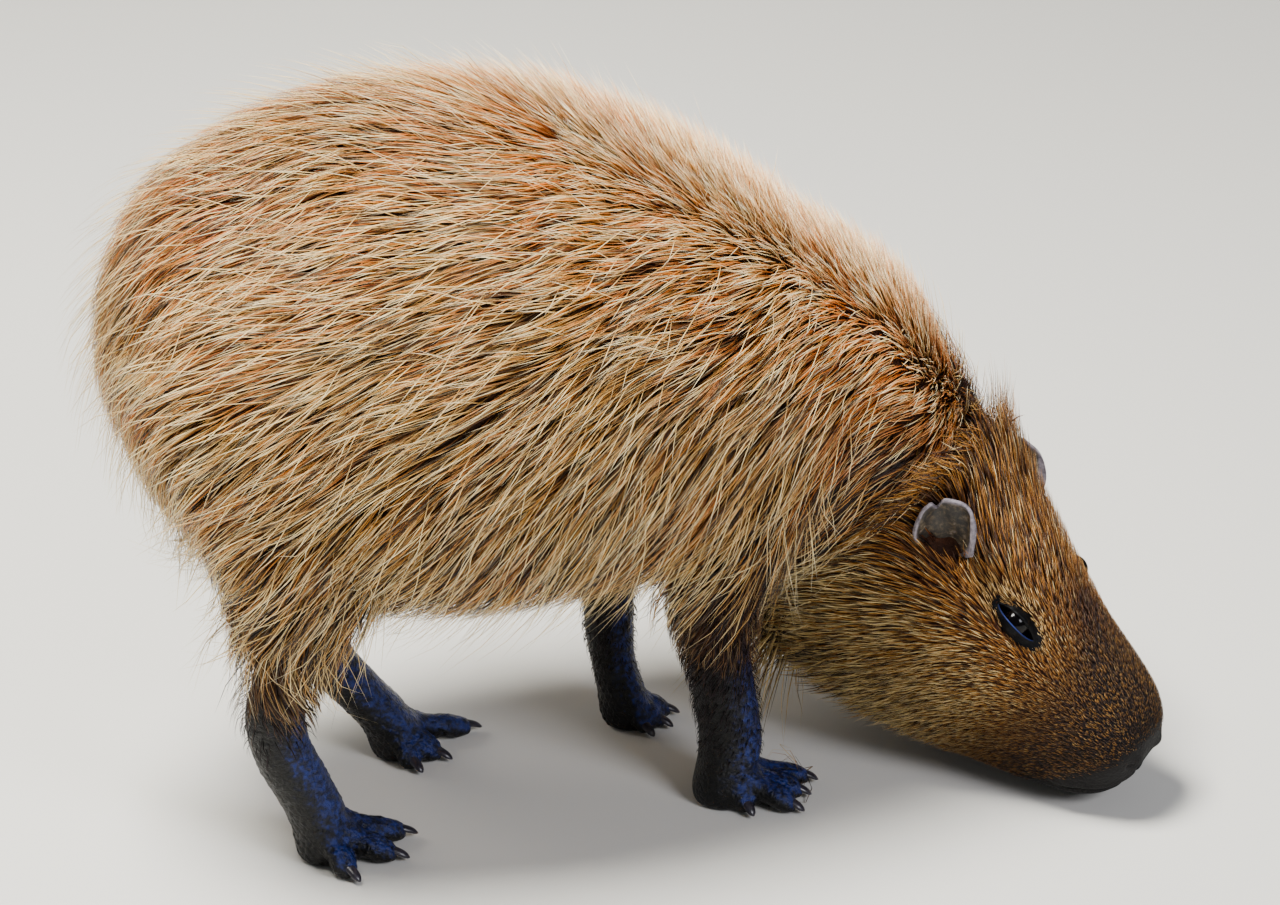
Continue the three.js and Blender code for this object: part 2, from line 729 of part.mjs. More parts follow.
const neckAhead = heading(NECK_CUT.pitch, NECK_CUT.yaw);
const neckStart = new THREE.Vector3(...NECK_CUT.at);
const headAhead = inHead(1, 0, 0).sub(inHead(0, 0, 0)).normalize();
const headPoint = inHead(HEAD_CUT_A, 0, -50);
const trunkDepth = () => COAT.core;
const neckDepth = (place) => {
  const share = Math.max(0, Math.min(1, (place - 2.2) / 2.4));
  return COAT.core + (COAT.head_core - COAT.core) * share;
};
const flat = () => 0;
const trunkCore = solid(loft(ringsOf(trunkPoint, TRUNK.length - 1, ...FINE.trunk, trunkDepth)));
const neckCore = solid(loft(ringsOf(neckPoint, NECK.length - 1, ...FINE.neck, neckDepth)));
const neckOutline = solid(loft(ringsOf(neckPoint, NECK.length - 1, ...FINE.neck_outline, flat)));
const headLoft = loft(headRings(...FINE.head));
const pastNeck = beyond(neckStart, neckAhead, GAP / 2);
const behindNeck = beyond(neckStart, neckAhead.clone().negate(), GAP / 2);
const pastHead = beyond(headPoint, headAhead, GAP / 2);
const behindHead = beyond(headPoint, headAhead.clone().negate(), GAP / 2);

const flesh = trunkCore.add(neckCore);
const legBodies = Object.fromEntries(Object.entries(LEGS).map(([name, leg]) => [name, legSolid(leg)]));
const legsGrown = joined(Object.values(legBodies).map((body) => grown(body, GAP)));
const trunkLocks = joined(coat(trunkPoint, trunkDepth, TRUNK_LOCKS, 11)).intersect(behindNeck);
const trunk = largest(flesh.intersect(behindNeck).add(trunkLocks.subtract(legsGrown)));
const neckLocks = joined(coat(neckPoint, neckDepth, NECK_LOCKS, 23)).intersect(pastNeck);
const neckWhole = flesh.intersect(pastNeck).add(neckLocks.subtract(legsGrown));
const neck = largest(neckWhole.intersect(behindHead));

let head = solid(headLoft).add(largest(neckCore.intersect(pastNeck))).intersect(pastHead);
const lips = [1, -1].map((s) => bar(mouthLine(s * MOUTH.apart, -MOUTH.sunk), MOUTH.lip, FINE.lip, false));
const atNostril = (side, ahead, halves) => headBlob(
  [NOSTRIL.a + ahead, side * NOSTRIL.b, NOSTRIL.c], halves, FINE.nostril,
);
const nostrilRims = [-1, 1].map((s) => atNostril(s, NOSTRIL.rim_ahead, NOSTRIL.rim));
head = joined([head, lids(-1), lids(1), ...lips, ...nostrilRims]);
const sockets = [-1, 1].map((s) => eyeball(s, GAP));
const mouth = bar(mouthLine(0, MOUTH.out), MOUTH.groove, FINE.groove, false);
const nostrils = [-1, 1].map((s) => atNostril(s, NOSTRIL.hole_ahead, NOSTRIL.hole));
head = head.subtract(joined([...sockets, mouth, ...nostrils]));

const skull = grown(solid(headLoft), GAP).add(grown(neckOutline, GAP));
group.add(meshOf("torso", trunk, COLOURS.coat, 0.9));
group.add(meshOf("neck", neck, COLOURS.coat, 0.9));
group.add(meshOf("head", head, COLOURS.head, 0.85));
[["right", -1], ["left", 1]].forEach(([word, s]) => {
  group.add(meshOf("ear_" + word, solid(ear(s, word, EAR.wall)).subtract(skull), COLOURS.skin, 0.8));
  group.add(meshOf("eye_" + word, eyeball(s, 0), COLOURS.eye, 0.1));
});

const trunkGrown = grown(trunkCore, GAP).add(grown(neckCore, GAP));
const above = beyond(new THREE.Vector3(0, 0, 0), new THREE.Vector3(0, 0, 1), 0);
for (const [name, leg] of Object.entries(LEGS)) {
  const long = name.startsWith("fore") ? CLAW.fore_long : CLAW.hind_long;
  const toes = leg.toes.map((toe) => solid(loft(toeRings(leg, toe))));
  const webs = leg.toes.slice(1).map((toe, i) => solid(loft(webRings(leg.toes[i], toe))));
  let body = joined([legBodies[name], ...toes, ...webs]).subtract(trunkGrown).intersect(above);
  leg.toes.forEach((toe, i) => {
    body = body.subtract(solid(loft(clawRings(toe, long, GAP))));
    const claw = solid(loft(clawRings(toe, long, 0)));
    group.add(meshOf(`claw_${name}_${i + 1}`, claw, COLOURS.claw, 0.4));
  });
  group.add(meshOf("leg_" + name, body, COLOURS.leg, 0.6));
}

// The origin is the middle of the footprint box on the floor.
const box = new THREE.Box3().setFromObject(group);
const shift = new THREE.Vector3(-(box.min.x + box.max.x) / 2, -(box.min.y + box.max.y) / 2, -box.min.z);
for (const mesh of group.children) {
  mesh.geometry.translate(shift.x, shift.y, shift.z);
}

export default group;
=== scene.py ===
import math

import bmesh
import bpy
import numpy as np
from mathutils import Matrix, Vector, bvhtree, kdtree


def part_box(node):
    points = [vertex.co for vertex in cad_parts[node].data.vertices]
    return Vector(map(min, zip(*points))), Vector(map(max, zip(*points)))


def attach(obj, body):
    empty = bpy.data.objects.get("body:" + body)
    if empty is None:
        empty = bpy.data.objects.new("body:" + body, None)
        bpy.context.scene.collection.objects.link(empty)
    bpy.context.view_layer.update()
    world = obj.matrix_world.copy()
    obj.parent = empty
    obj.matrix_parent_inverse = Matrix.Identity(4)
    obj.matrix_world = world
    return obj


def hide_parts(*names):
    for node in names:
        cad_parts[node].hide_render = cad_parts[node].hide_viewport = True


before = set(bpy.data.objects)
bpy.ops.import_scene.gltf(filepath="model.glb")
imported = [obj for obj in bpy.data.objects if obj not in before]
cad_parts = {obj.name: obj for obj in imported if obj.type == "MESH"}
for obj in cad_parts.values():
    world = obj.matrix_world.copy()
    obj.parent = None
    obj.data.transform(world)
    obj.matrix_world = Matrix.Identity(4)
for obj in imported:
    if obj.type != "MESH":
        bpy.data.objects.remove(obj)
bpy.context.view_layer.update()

MM = 0.001
rng = np.random.default_rng(7)

# Sections of the trunk along X, out to the tips of the coat: back, belly, half width, height of the
# widest line and squareness.
TRUNK = np.array([
    (-350, 462, 385, 34, 422, 2.0),
    (-336, 505, 340, 78, 408, 2.1),
    (-306, 545, 292, 112, 392, 2.2),
    (-258, 582, 246, 140, 368, 2.25),
    (-192, 609, 208, 162, 352, 2.25),
    (-108, 620, 190, 175, 342, 2.25),
    (-20, 607, 187, 174, 340, 2.25),
    (60, 577, 190, 165, 340, 2.25),
    (130, 540, 196, 154, 340, 2.25),
    (190, 497, 206, 141, 338, 2.2),
    (236, 455, 222, 120, 330, 2.2),
    (268, 410, 244, 88, 322, 2.1),
])
# Sections of the neck square to its path: centre, pitch down, turn to the right, reach up and down
# and half width.
NECK = np.array([
    (130, 0, 352, 24, 0, 152, 145, 142),
    (190, -2, 334, 30, 4, 142, 135, 134),
    (236, -8, 306, 37, 12, 134, 132, 124),
    (272, -18, 272, 41, 26, 124, 132, 114),
    (298, -30, 236, 44, 40, 112, 128, 103),
    (316, -44, 202, 44, 48, 98, 112, 90),
])
# The head's own axes start between the ears and run forwards, left and up.
EARS_AT = np.array([346.0, -90.0, 236.0])
HEAD_YAW = -48
HEAD_PITCH = 44
# Sections of the head from behind the ears to the nose: distance, crown, throat, half width, height
# of the widest line and squareness.
HEAD = np.array([
    (-62, 44, -180, 92, -64, 2.0),
    (-25, 41, -197, 97, -76, 2.0),
    (20, 38, -207, 98, -88, 1.98),
    (60, 34, -208, 95, -90, 2.0),
    (97, 29, -198, 88, -85, 2.1),
    (135, 23, -178, 76, -74, 2.25),
    (172, 19, -149, 63, -62, 2.4),
    (205, 13, -119, 54, -52, 2.55),
    (226, 3, -101, 48, -48, 2.6),
    (239, -9, -89, 41, -48, 2.5),
    (248, -23, -79, 30, -50, 2.4),
    (253, -38, -67, 16, -52, 2.2),
])
# An eye: its place on the head, depth in the skin, radius, and the length and height of its opening.
EYE = {"a": 91, "c": 1, "inset": 11.5, "radius": 12.5, "long": 26.5, "open_up": 4.2, "open_down": 4.0}
# Folds round an eye: half length, place above it, half height, and how far they stand out of the face.
BROW = (30, 17, 8, 3.0)
POUCH = (26, -15, 6, 1.6)
SOCKET = {"half_long": 19, "half_high": 10, "deep": 12}
# The mouth line above the throat's outline, and the lips beside it.
MOUTH = {"above": 24, "half_high": 2.6, "deep": 4.5, "lip_off": 7, "lip_half": 4.5, "lip_out": 1.4}
CLEFT = {"half_wide": 2.2, "c": -46, "half_high": 17, "deep": 3.0}
NOSTRIL = {"b": 20, "c": -28, "half_long": 8.5, "half_high": 4.6, "deep": 9.0, "turn": (0.86, 0.5)}
NOSTRIL_RIM = {"b": 22, "c": -18, "half_wide": 12, "half_high": 5, "out": 2.0}
EAR_HOLE = {"a": 18, "c": -4, "half_long": 9, "half_high": 8, "deep": 9}
# Half length and half height of the bare skin round an eye.
LID_PATCH = (21, 12.5)
# An ear: its root, height, width, wall and radius of its cup, the way it stands, the way it opens and
# how deep its root is sunk.
EAR = {"a": 9, "b": 61, "c": -7, "tall": 58, "wide": 60, "wall": 2.4, "bend": 27}
EAR_AXIS = (-0.45, 0.38, 0.78)
EAR_OPENS = {"right": (0.35, 0.93, -0.1), "left": (0.8, 0.6, -0.1)}
EAR_SUNK = {"right": 9, "left": 16}
# Legs in level sections: centre, half length and half width; then the toes: knuckle, reach, turn
# outwards and thickness.
LEGS = {
    "hind_right": {
        "sections": [
            (-222, -70, 345, 88, 58), (-214, -84, 290, 76, 54), (-212, -88, 245, 58, 46),
            (-222, -88, 205, 43, 37), (-235, -87, 170, 35, 30), (-243, -86, 138, 31, 25),
            (-240, -85, 108, 27, 22), (-226, -85, 72, 26, 24), (-212, -86, 42, 26, 26),
            (-208, -87, 20, 22, 24), (-207, -87, 0, 19, 21),
        ],
        "toes": [(-208, -103, 27, -66, 12), (-196, -94, 42, -24, 13), (-195, -76, 52, -5, 12)],
    },
    "hind_left": {
        "sections": [
            (-150, 70, 345, 80, 58), (-130, 84, 290, 72, 54), (-122, 86, 245, 56, 45),
            (-136, 84, 205, 41, 36), (-156, 80, 168, 33, 29), (-172, 75, 132, 29, 24),
            (-171, 71, 100, 27, 22), (-147, 64, 66, 27, 24), (-124, 60, 40, 27, 26),
            (-114, 57, 20, 22, 24), (-112, 56, 0, 19, 21),
        ],
        "toes": [(-114, 42, 20, -70, 12), (-106, 50, 28, -38, 13), (-105, 64, 56, 5, 12)],
    },
    "fore_right": {
        "sections": [
            (168, -74, 330, 62, 46), (150, -84, 275, 57, 44), (132, -88, 230, 50, 40),
            (120, -90, 190, 42, 35), (121, -89, 150, 34, 30), (127, -88, 110, 28, 26),
            (132, -88, 75, 27, 25), (135, -90, 45, 28, 27), (130, -94, 20, 26, 27),
            (128, -95, 0, 24, 25),
        ],
        "toes": [
            (134, -108, 18, -80, 10), (141, -107, 42, -40, 11),
            (143, -96, 46, -22, 11), (144, -80, 56, -14, 10),
        ],
    },
    "fore_left": {
        "sections": [
            (138, 70, 330, 60, 46), (116, 80, 275, 55, 44), (96, 84, 230, 48, 40),
            (85, 84, 190, 37, 32), (82, 82, 150, 29, 27), (80, 78, 110, 24, 23),
            (78, 69, 75, 21, 21), (81, 60, 45, 20, 22), (87, 52, 20, 21, 24),
            (89, 49, 0, 19, 22),
        ],
        "toes": [
            (90, 33, 13, -66, 9), (95, 42, 21, -38, 10),
            (96, 53, 27, -14, 10), (94, 64, 21, 8, 9),
        ],
    },
}
# A claw: its length in front and behind, its half width and half height, and its height off the floor.
CLAW = {"fore": 14, "hind": 17, "half_wide": 4.6, "half_high": 4.0, "lift": 0.8}
# The web between two toes: how far along them it reaches, and its height and thickness.
WEB = {"reach": 0.58, "high": 12, "fall": 7, "half_thick": 2.2}
# The lowest that a sole or a toe comes.
SOLE = 0.6
# Depth of the coat above the skin: all over, and more on the crest, the belly and the throat.
TRUNK_DEPTH = {"all": 20, "crest": 12, "belly": 2}
NECK_DEPTH = {"all": 18, "crest": 14, "throat": 8}
HEAD_DEPTH = {"nap": 2.5, "all": 4, "side": 6, "under": 11}
# Swellings of the muzzle and chin in the head's axes: centre on the left side and reach.
CHEEK_PAD = ((204, 31, -68), (32, 20, 26))
NOSE_PAD = ((235, 19, -26), (12, 13, 11))
CHIN = ((212, 0, -96), (22, 24, 13))
# Grain of the skin mesh, and the rounds of smoothing that settle it.
VOXEL = 2.9
SETTLE_ROUNDS = 6
# How many hairs each layer of the coat has.
HAIRS = {
    "under": 5500, "coarse": 35500, "stray": 5500, "crest": 6500, "head": 12500, "face": 29500, "leg": 7500,
}
PER_PIECE = {"body": 12000, "head": 12600, "face": 19000}
# Length of the head's fur by distance from the ears.
HEAD_FUR_LENGTH = ((-60, -20, 40, 100, 160, 220), (46, 38, 21, 11, 6, 4))
# How steeply the head's fur falls by height on the head, from the throat to the crown.
HEAD_FUR_FALL = ((-170, -120, -75, -40, -12, 20), (-3.4, -2.3, -1.3, -0.6, 0.1, 0.4))
# The line of the back that the standing hair of withers and nape follows: distance along X and height.
CREST_LINE = ((-120, 60, 130, 190, 236, 275, 320), (590, 545, 505, 462, 418, 375, 320))
# How high above the skin a hair lies at each of its rings, as shares of its length.
RISE = {
    "under": (0, 0.11, 0.17, 0.20), "coarse": (0, 0.17, 0.26, 0.32), "stray": (0, 0.26, 0.48, 0.70),
    "head": (0, 0.2, 0.3, 0.34), "face": (0, 0.24, 0.34), "leg": (0, 0.2, 0.3, 0.33),
}
# The space that hair tips stay in: where they begin to bend back and how much further they come.
TIP_LIMITS = {"side": (214, 7), "top": (628, 12), "rear": (438, 8), "floor": 1.5}
# Side of the patch that a hair has on the unwrap of the skin.
PATCH = 0.003
# Lamps: place and size in metres, aim height, power in watts and colour.
LAMPS = {
    "overhead": ((-0.9, 0.2, 3.2), 0.3, 320, 1.1, "#FFFDF6"),
    "window": ((1.4, -2.8, 2.2), 0.3, 92, 1.2, "#F6F7FF"),
    "rim": ((-2.4, 2.2, 2.0), 0.4, 35, 1.6, "#FFF6EA"),
}
WORLD_LIGHT = ("#E4E8EC", 0.22)
FLOOR_SIDE = 24
# Camera at the photograph's angle, with distances in millimetres.
CAMERA = {"azimuth": -17, "elevation": 26, "distance": 3200, "target": (71, -42, 300), "lens": 112.5}


def along(rows, place):
    """Every value of a table at a place along it, on a smooth curve through the rows."""
    last = len(rows) - 1
    i = min(int(place), last - 1)
    t = place - i
    p0, p1, p2, p3 = (rows[max(0, min(last, j))] for j in (i - 1, i, i + 1, i + 2))
    rise, fall = (p2 - p0) / 2, (p3 - p1) / 2
    return (
        (2 * t**3 - 3 * t**2 + 1) * p1 + (t**3 - 2 * t**2 + t) * rise
        + (3 * t**2 - 2 * t**3) * p2 + (t**3 - t**2) * fall
    )


def circle(count):
    """Angles evenly round a ring."""
    return np.linspace(0, 2 * np.pi, count, endpoint=False)


def oval(angle, half, up, down, power):
    """Places round a squared oval whose upper and lower halves differ."""
    c, s = np.cos(angle), np.sin(angle)
    x = half * np.sign(c) * np.abs(c) ** (2 / power)
    y = np.where(s > 0, up, down) * np.sign(s) * np.abs(s) ** (2 / power)
    return x, y


def unit(v):
    """Each vector at length one."""
    return v / np.maximum(np.linalg.norm(v, axis=-1, keepdims=True), 1e-9)


def smooth_step(low, high, x):
    """From 0 at the low end to 1 at the high end, without a kink."""
    t = np.clip((x - low) / (high - low), 0, 1)
    return t * t * (3 - 2 * t)


yaw, pitch = math.radians(HEAD_YAW), math.radians(HEAD_PITCH)
HEAD_AXES = np.array(
    (Matrix.Rotation(yaw, 3, "Z") @ Matrix.Rotation(pitch, 3, "Y")).transposed()
)


def in_head(abc):
    """Points of the head, forwards, left and up from between the ears, in the model's millimetres."""
    return EARS_AT + np.asarray(abc, float) @ HEAD_AXES


def to_head(xyz):
    """Points in the head's own axes."""
    return (np.asarray(xyz, float) - EARS_AT) @ HEAD_AXES.T


def head_row(a):
    """The section of the head at each distance from the ears."""
    places = np.linspace(0, len(HEAD) - 1, 400)
    values = np.array([along(HEAD, p) for p in places])
    return [np.interp(a, values[:, 0], values[:, k]) for k in range(6)]


def head_half(a, c):
    """Half width of the head, out to its fur, at a distance from the ears and a height."""
    _, top, bottom, half, wide, power = head_row(a)
    reach = np.where(c > wide, top - wide, wide - bottom)
    share = np.clip(np.abs(c - wide) / reach, 0, 1)
    return half * (1 - share**power) ** (1 / power)


def eye_frame(side):
    """Centre of an eye and its ways ahead, up along the skin and out, in the head's own axes."""
    slope = float(head_half(EYE["a"], EYE["c"] + 1) - head_half(EYE["a"], EYE["c"] - 1))
    out = np.array([2.0, -slope]) / math.hypot(2.0, slope)
    half = float(head_half(EYE["a"], EYE["c"])) - EYE["inset"] * out[0]
    centre = np.array([EYE["a"], side * half, EYE["c"] - EYE["inset"] * out[1]])
    facing = np.array([0.0, side * out[0], out[1]])
    upward = np.array([0.0, -side * out[1], out[0]])
    ahead = unit(np.array([1.0, 0.0, 0.0]) + 0.09 * upward)
    upward = unit(upward - 0.09 * np.array([1.0, 0.0, 0.0]))
    return centre, ahead, upward, facing


def at_eye(local, side):
    """Places round an eye: ahead, up and out from its centre."""
    centre, ahead, upward, facing = eye_frame(side)
    d = local - centre
    return d @ ahead, d @ upward, d @ facing


# The step from the model's own millimetres to the frame's, read from the right eye.
low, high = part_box("eye_right")
SHIFT = np.array((low + high) / 2) / MM - in_head(eye_frame(-1)[0])
SHIFT[2] = 0.0


def loft(rings):
    """Vertices and faces of a closed solid through rings of points."""
    rings = np.asarray(rings, float)
    n, m = rings.shape[:2]
    points = rings.reshape(-1, 3)
    faces = []
    for i in range(n - 1):
        for j in range(m):
            a, b = i * m + j, i * m + (j + 1) % m
            faces.append((a, b, b + m, a + m))
    faces.append(tuple(range(m))[::-1])
    faces.append(tuple(range((n - 1) * m, n * m)))
    return points, faces


def trunk_rings():
    """The skin of the trunk: the outline sunk by the depth of the coat."""
    rings = []
    angles = circle(72)
    for place in np.linspace(0, len(TRUNK) - 1, 60):
        x, top, bottom, half, wide, power = along(TRUNK, place)
        y, z = oval(angles, half, top - wide, wide - bottom, power)
        reach = np.hypot(y, z)
        crest = np.exp(-(((x - 170) / 130) ** 2)) * np.clip(np.sin(angles), 0, 1) ** 6
        belly = np.clip(-np.sin(angles), 0, 1) ** 3
        depth = TRUNK_DEPTH["all"] + TRUNK_DEPTH["crest"] * crest + TRUNK_DEPTH["belly"] * belly
        share = 1 - np.minimum(depth / reach, 0.45)
        end = 16 * (1 - smooth_step(-350, -280, x))
        rings.append(np.stack([np.full_like(y, x + end), y * share, wide + z * share], -1))
    return rings


def neck_rings():
    """The skin of the neck, square to its bent path."""
    rings = []
    angles = circle(64)
    for place in np.linspace(0, len(NECK) - 1, 24):
        x, y, z, down_by, turn, up_reach, down_reach, half = along(NECK, place)
        p, t = math.radians(down_by), math.radians(turn)
        ahead = np.array([math.cos(p) * math.cos(t), -math.cos(p) * math.sin(t), -math.sin(p)])
        left = np.cross([0, 0, 1], ahead)
        left /= np.linalg.norm(left)
        up = np.cross(ahead, left)
        b, c = oval(angles, half, up_reach, down_reach, 2.2)
        reach = np.hypot(b, c)
        crest = np.clip(np.sin(angles), 0, 1) ** 6
        throat = np.clip(-np.sin(angles), 0, 1) ** 3
        depth = NECK_DEPTH["all"] + NECK_DEPTH["crest"] * crest + NECK_DEPTH["throat"] * throat
        share = 1 - depth / reach
        middle = np.array([x, y, z])
        rings.append(middle + np.outer(b * share, left) + np.outer(c * share, up))
    return rings


def head_rings():
    """The skin of the head: the outline sunk by the depth of its fur, which ends at the muzzle."""
    rings = []
    angles = circle(72)
    for place in np.linspace(0, len(HEAD) - 1, 60):
        a, top, bottom, half, wide, power = along(HEAD, place)
        b, c = oval(angles, half, top - wide, wide - bottom, power)
        reach = np.hypot(b, c)
        fur = 1 - smooth_step(90, 215, a)
        under = np.clip(-np.sin(angles), 0, 1) ** 1.5
        side = np.abs(np.cos(angles))
        depth = HEAD_DEPTH["nap"] + fur * (
            HEAD_DEPTH["all"] + HEAD_DEPTH["side"] * side + HEAD_DEPTH["under"] * under)
        share = 1 - depth / reach
        end = 2.5 * smooth_step(232, 253, a)
        local = np.stack([np.full_like(b, a - end), b * share, wide + c * share], -1)
        rings.append(in_head(local))
    return rings


def leg_rings(leg, fore):
    """The skin of a leg: furred above, flat over the instep and full at the heel."""
    rows = np.array(leg["sections"], float)
    rings = []
    angles = circle(32)
    for place in np.linspace(0, len(rows) - 1, 48):
        x, y, z, long, wide = along(rows, place)
        fur = (9 if fore else 11) * smooth_step(70, 190, z)
        pinch = 1 - 0.05 * np.exp(-(((z - 60) / 16) ** 2))
        instep = 1 - 0.34 * np.exp(-(((z - 22) / 22) ** 2)) * np.clip(np.cos(angles), 0, 1) ** 1.5
        heel = 3.5 * np.exp(-(((z - 12) / 14) ** 2)) * np.clip(-np.cos(angles), 0, 1) ** 2
        px = x + ((long - fur) * pinch * instep + heel) * np.cos(angles)
        py = y + (wide - fur) * pinch * np.sin(angles)
        rings.append(np.stack([px, py, np.full_like(px, max(z, SOLE))], -1))
    return rings


def toe_frame(toe):
    """A toe's knuckle, its ways ahead and left, its reach and thickness."""
    x, y, reach, turn, thick = toe
    t = math.radians(turn)
    ahead = np.array([math.cos(t), math.sin(t), 0])
    left = np.array([-ahead[1], ahead[0], 0])
    return np.array([x, y, 0.0]), ahead, left, reach, thick


def toe_rings(leg, toe):
    """A toe that starts as a ridge on the instep, bends at its knuckle and ends in a full pad."""
    start, ahead, left, reach, thick = toe_frame(toe)
    rows = np.array(leg["sections"], float)
    x, y, half_x, half_y = (np.interp(68, rows[::-1, 2], rows[::-1, k]) for k in (0, 1, 3, 4))
    top = np.array([x + 0.78 * half_x * ahead[0], y + 0.78 * half_y * ahead[1]])
    knuckle = start + ahead * 4
    path = np.array([
        [*top, 68.0, 0.55 * thick],
        [*(0.5 * top + 0.5 * knuckle[:2]), 45.0, 0.8 * thick],
        [*knuckle[:2], 27.0, 0.96 * thick],
        [*(start + ahead * reach * 0.42)[:2], 16.0, 0.86 * thick],
        [*(start + ahead * reach * 0.78)[:2], 10.5, 0.98 * thick],
        [*(start + ahead * reach)[:2], 8.0, 0.72 * thick],
        [*(start + ahead * (reach + 4))[:2], 6.5, 0.34 * thick],
    ])
    rings = []
    angles = circle(20)
    for place in np.linspace(0, len(path) - 1, 28):
        x, y, z, r = along(path, place)
        high = min(r * 0.92, max(z - SOLE, 3.0) if z < 12 else r * 0.92)
        b, c = oval(angles, r, high, high, 2.2)
        middle = np.array([x, y, 0.0])
        rings.append(middle + np.outer(b, left) + np.outer(np.maximum(z + c, SOLE), [0, 0, 1]))
    return rings


def web_rings(first, second):
    """The web of skin between two toes."""
    a, ahead_a, _, reach_a, _ = toe_frame(first)
    b, ahead_b, _, reach_b, _ = toe_frame(second)
    rings = []
    for s in np.linspace(0, 1, 8):
        p = a + ahead_a * (-4 + WEB["reach"] * reach_a * s + 4 * s)
        q = b + ahead_b * (-4 + WEB["reach"] * reach_b * s + 4 * s)
        z = WEB["high"] - WEB["fall"] * s
        low, high = [0, 0, z - WEB["half_thick"]], [0, 0, z + WEB["half_thick"]]
        cut = 0.0 if s < 0.95 else 0.15
        p, q = p + (q - p) * cut, q + (p - q) * cut
        rings.append([p + low, q + low, q + high, p + high])
    return rings


def blob(centre, radii):
    """A closed ellipsoid in the head's own axes, as rings."""
    rings = []
    for t in np.linspace(-0.49 * np.pi, 0.49 * np.pi, 14):
        angles = circle(24)
        local = np.stack([
            np.full_like(angles, radii[0] * math.sin(t)),
            radii[1] * math.cos(t) * np.cos(angles),
            radii[2] * math.cos(t) * np.sin(angles),
        ], -1)
        rings.append(in_head(local + np.asarray(centre, float)))
    return rings


def mesh_object(name, points, faces):
    """A mesh object at the origin from points in the model's millimetres."""
    mesh = bpy.data.meshes.new(name)
    mesh.from_pydata(((points + SHIFT) * MM).tolist(), [], faces)
    mesh.update()
    obj = bpy.data.objects.new(name, mesh)
    bpy.context.scene.collection.objects.link(obj)
    return obj


def joined_shape(name, lofts):
    """One mesh object from several closed lofts."""
    points, faces, start = [], [], 0
    for rings in lofts:
        p, f = loft(rings)
        points.append(p)
        faces.extend(tuple(i + start for i in face) for face in f)
        start += len(p)
    return mesh_object(name, np.concatenate(points), faces)


def vertices_of(obj):
    """The vertices in the model's millimetres."""
    co = np.empty(len(obj.data.vertices) * 3, np.float32)
    obj.data.vertices.foreach_get("co", co)
    return co.reshape(-1, 3).astype(float) / MM - SHIFT


def set_vertices(obj, points):
    """Moves the vertices to points in the model's millimetres."""
    obj.data.vertices.foreach_set("co", ((points + SHIFT) * MM).astype(np.float32).ravel())
    obj.data.update()


def applied(obj):
    """The object with its modifiers worked into its mesh."""
    dg = bpy.context.evaluated_depsgraph_get()
    made = bpy.data.meshes.new_from_object(obj.evaluated_get(dg))
    old = obj.data
    obj.modifiers.clear()
    obj.data = made
    bpy.data.meshes.remove(old)
    return obj


def outward(obj):
    """Turns every face of a closed shell to point out."""
    work = bmesh.new()
    work.from_mesh(obj.data)
    bmesh.ops.recalc_face_normals(work, faces=work.faces)
    work.to_mesh(obj.data)
    work.free()


def shaded_smooth(obj):
    """Shades a piece as one smooth surface."""
    obj.data.polygons.foreach_set("use_smooth", np.ones(len(obj.data.polygons), bool))


def mark_vertices(obj, name, values):
    """Writes one number for each vertex, for a material to read."""
    values = np.asarray(values, np.float32)
    obj.data.attributes.new(name, "FLOAT", "POINT").data.foreach_set("value", values)


# The skin: every part of the body as a closed loft, made one surface.
shapes = [trunk_rings(), neck_rings(), head_rings()]
for name, leg in LEGS.items():
    shapes.append(leg_rings(leg, name.startswith("fore")))
    for toe in leg["toes"]:
        shapes.append(toe_rings(leg, toe))
    for first, second in zip(leg["toes"], leg["toes"][1:]):
        shapes.append(web_rings(first, second))
for side in (-1, 1):
    for (a, b, c), radii in (CHEEK_PAD, NOSE_PAD):
        shapes.append(blob((a, side * b, c), radii))
shapes.append(blob(*CHIN))
skin = joined_shape("skin", shapes)
remesh = skin.modifiers.new("one_surface", "REMESH")
remesh.mode = "VOXEL"
remesh.voxel_size = VOXEL * MM
remesh.use_smooth_shade = True
settle = skin.modifiers.new("soft_joins", "SMOOTH")
settle.factor = 0.5
settle.iterations = SETTLE_ROUNDS
applied(skin)

# The face and the feet get smaller faces than the rest.
work = bmesh.new()
work.from_mesh(skin.data)
work.verts.ensure_lookup_table()
co = np.array([v.co for v in work.verts]) / MM - SHIFT
local = to_head(co)
fine = (local[:, 0] > 60) & (np.abs(local[:, 1]) < 110) & (local[:, 2] > -140)
fine |= co[:, 2] < 46
fine &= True
chosen = [e for e in work.edges if fine[e.verts[0].index] and fine[e.verts[1].index]]
if chosen:
    bmesh.ops.subdivide_edges(work, edges=chosen, cuts=1, use_grid_fill=True, smooth=0.4)
bmesh.ops.triangulate(work, faces=[f for f in work.faces if len(f.verts) > 4])
work.to_mesh(skin.data)
work.free()

# Folds of the face, pressed into the skin.
points = vertices_of(skin)
local = to_head(points)
a, b, c = local.T
near = (a > 20) & (np.abs(b) < 100) & (c > -200) & (c < 60)
side = np.sign(b)
out = np.zeros_like(local)
bottom = head_row(a)[2]
mouth = bottom + MOUTH["above"]
ahead = smooth_step(180, 200, a)
groove = np.exp(-(((c - mouth) / MOUTH["half_high"]) ** 2)) * ahead
lip = sum(
    np.exp(-(((c - mouth - off) / MOUTH["lip_half"]) ** 2)) * ahead
    for off in (MOUTH["lip_off"], -MOUTH["lip_off"])
)
centre_line = np.array([150.0, 0.0, -50.0])
away = local - centre_line
away /= np.maximum(np.linalg.norm(away, axis=1, keepdims=True), 1e-6)
out += away * (MOUTH["lip_out"] * lip - MOUTH["deep"] * groove)[:, None]
cleft = np.exp(-((b / CLEFT["half_wide"]) ** 2)) * smooth_step(226, 240, a)
